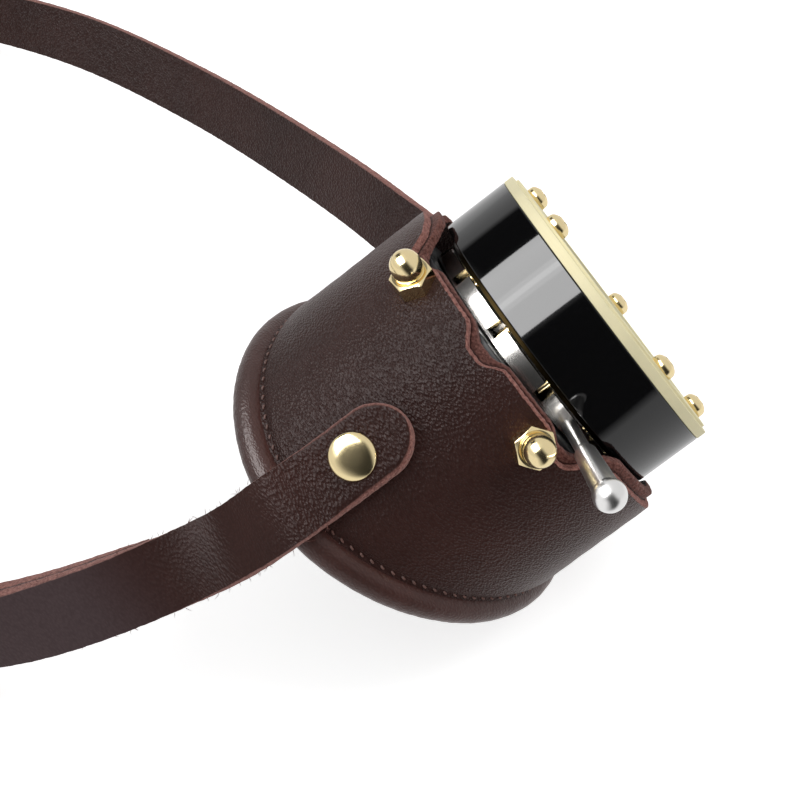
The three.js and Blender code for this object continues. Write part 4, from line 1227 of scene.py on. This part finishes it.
# 1 for rays that gloss mirrors, and 1 for rays straight from the camera or through the glass
def rays(tree):
    path = addNode(tree, "ShaderNodeLightPath").outputs
    return path["Is Glossy Ray"], maths(tree, "MAXIMUM", path["Is Camera Ray"], path["Is Transmission Ray"])


# table: a wide pale disc that shows white to the camera and still takes the shadow
stageLook = {"radius": 6.0, "under": 0.00005, "albedo": 0.80, "glow": 0.69, "mirrored": 0.95}


def stage():
    k = stageLook
    a = fullTurn(96)
    mesh = bpy.data.meshes.new("table")
    mesh.from_pydata(polar(k["radius"], a, 0 * a - k["under"]).tolist(), [], [list(range(len(a)))])
    table = addObject("table", mesh)
    material = bpy.data.materials.new("tableWhite")
    material.use_nodes = True
    tree = material.node_tree
    tree.nodes.clear()
    glossy, direct = rays(tree)
    place = addNode(tree, "ShaderNodeTexCoord").outputs["Object"]
    ray = vectorMaths(tree, "NORMALIZE", vectorMaths(tree, "SUBTRACT", place, tuple(cupOrigin)))
    dim = dimMask(tree, ray, dimSide["angles"], dimSide["along"])
    mirrored = maths(tree, "MULTIPLY", glossy, remap(tree, dim, target=(k["mirrored"], dimSide["level"])))
    strength = maths(tree, "ADD", maths(tree, "MULTIPLY", direct, k["glow"]), mirrored)
    shine = addNode(tree, "ShaderNodeEmission", {"Strength": strength}).outputs[0]
    matt = addNode(tree, "ShaderNodeBsdfDiffuse", {"Color": (*[k["albedo"]] * 3, 1)}).outputs[0]
    both = addNode(tree, "ShaderNodeAddShader", {0: shine, 1: matt}).outputs[0]
    whole = addNode(tree, "ShaderNodeMixShader", {0: glossy, 1: both, 2: shine}).outputs[0]
    addNode(tree, "ShaderNodeOutputMaterial", {"Surface": whole})
    material.cycles.emission_sampling = "NONE"
    mesh.materials.append(material)


stage()


# light: an even pale room, a soft high key from behind, and long softboxes parallel to the drum that gloss
# mirrors as straight bands; the key is (strength, angle, direction), and each box is (angle round the drum,
# distance, offset along the axis, width, length, radiance)
lightLook = {
    "room": 0.56, "mirrored": 0.80, "gap": (-109, -70), "gapAlong": (0.15, 0.25),
    "key": (0.8, 40.0, (0.50, 0.22, 0.84)),
    "boxes": {"sideBox": (-46, 0.70, -0.07, 0.70, 0.50, 9.3), "hotStrip": (-45, 0.69, -0.05, 0.05, 0.50, 2.0),
              "softStrip": (-45, 0.695, -0.05, 0.14, 0.50, 1.2)},
}


def lights():
    world = bpy.data.worlds.new("studio")
    bpy.context.scene.world = world
    world.use_nodes = True
    tree = world.node_tree
    direction = addNode(tree, "ShaderNodeTexCoord").outputs["Generated"]
    front = dimMask(tree, direction, dimSide["angles"], dimSide["along"])
    back = dimMask(tree, direction, lightLook["gap"], lightLook["gapAlong"])
    dark = maths(tree, "MAXIMUM", front, back)
    mirrored = remap(tree, dark, target=(lightLook["mirrored"], dimSide["level"]))
    glossy, direct = rays(tree)
    seen = mixValue(tree, direct, mixValue(tree, glossy, lightLook["room"], mirrored), 1.0)
    feed(tree, tree.nodes["Background"], {"Color": (1, 1, 1, 1), "Strength": seen})
    energy, angle, towards = lightLook["key"]
    key = bpy.data.lights.new("highKey", "SUN")
    key.energy, key.angle = energy, np.radians(angle)
    z = unit(np.array(towards))
    lamps = [(key, np.zeros(3), unit(np.cross([0.0, 1.0, 0.0], z)), z, True)]
    for name, (around, distance, offset, width, length, radiance) in lightLook["boxes"].items():
        lamp = bpy.data.lights.new(name, "AREA")
        lamp.shape, lamp.size, lamp.size_y = "RECTANGLE", length, width
        lamp.energy = radiance * np.pi * width * length
        out = outwards(around)
        lamps.append((lamp, cupOrigin + distance * out + offset * cupAxis, cupAxis, out, False))
    for lamp, place, x, z, isKey in lamps:
        thing = addObject(lamp.name, lamp)
        matrix = np.eye(4)
        matrix[:3] = np.stack([x, np.cross(z, x), z, place], -1)
        thing.matrix_world = matrix.T.tolist()
        thing.visible_diffuse, thing.visible_glossy = isKey, not isKey


lights()


# camera: the photograph's view, for a square frame; down is the angle below level
cameraLook = {"place": (-25.392, -228.482, 194.443), "down": 42.0, "lens": 76.5, "sensor": 36.0, "clip": 0.01}
lens = bpy.data.cameras.new("photoCamera")
lens.lens, lens.sensor_width, lens.clip_start = (cameraLook[key] for key in ("lens", "sensor", "clip"))
camera = addObject("photoCamera", lens)
camera.location = toScene(np.array(cameraLook["place"]))
camera.rotation_euler = (np.radians(90 - cameraLook["down"]), 0, 0)
bpy.context.scene.camera = camera
bpy.context.scene.view_settings.view_transform = "Standard"
print("table, lights and camera")
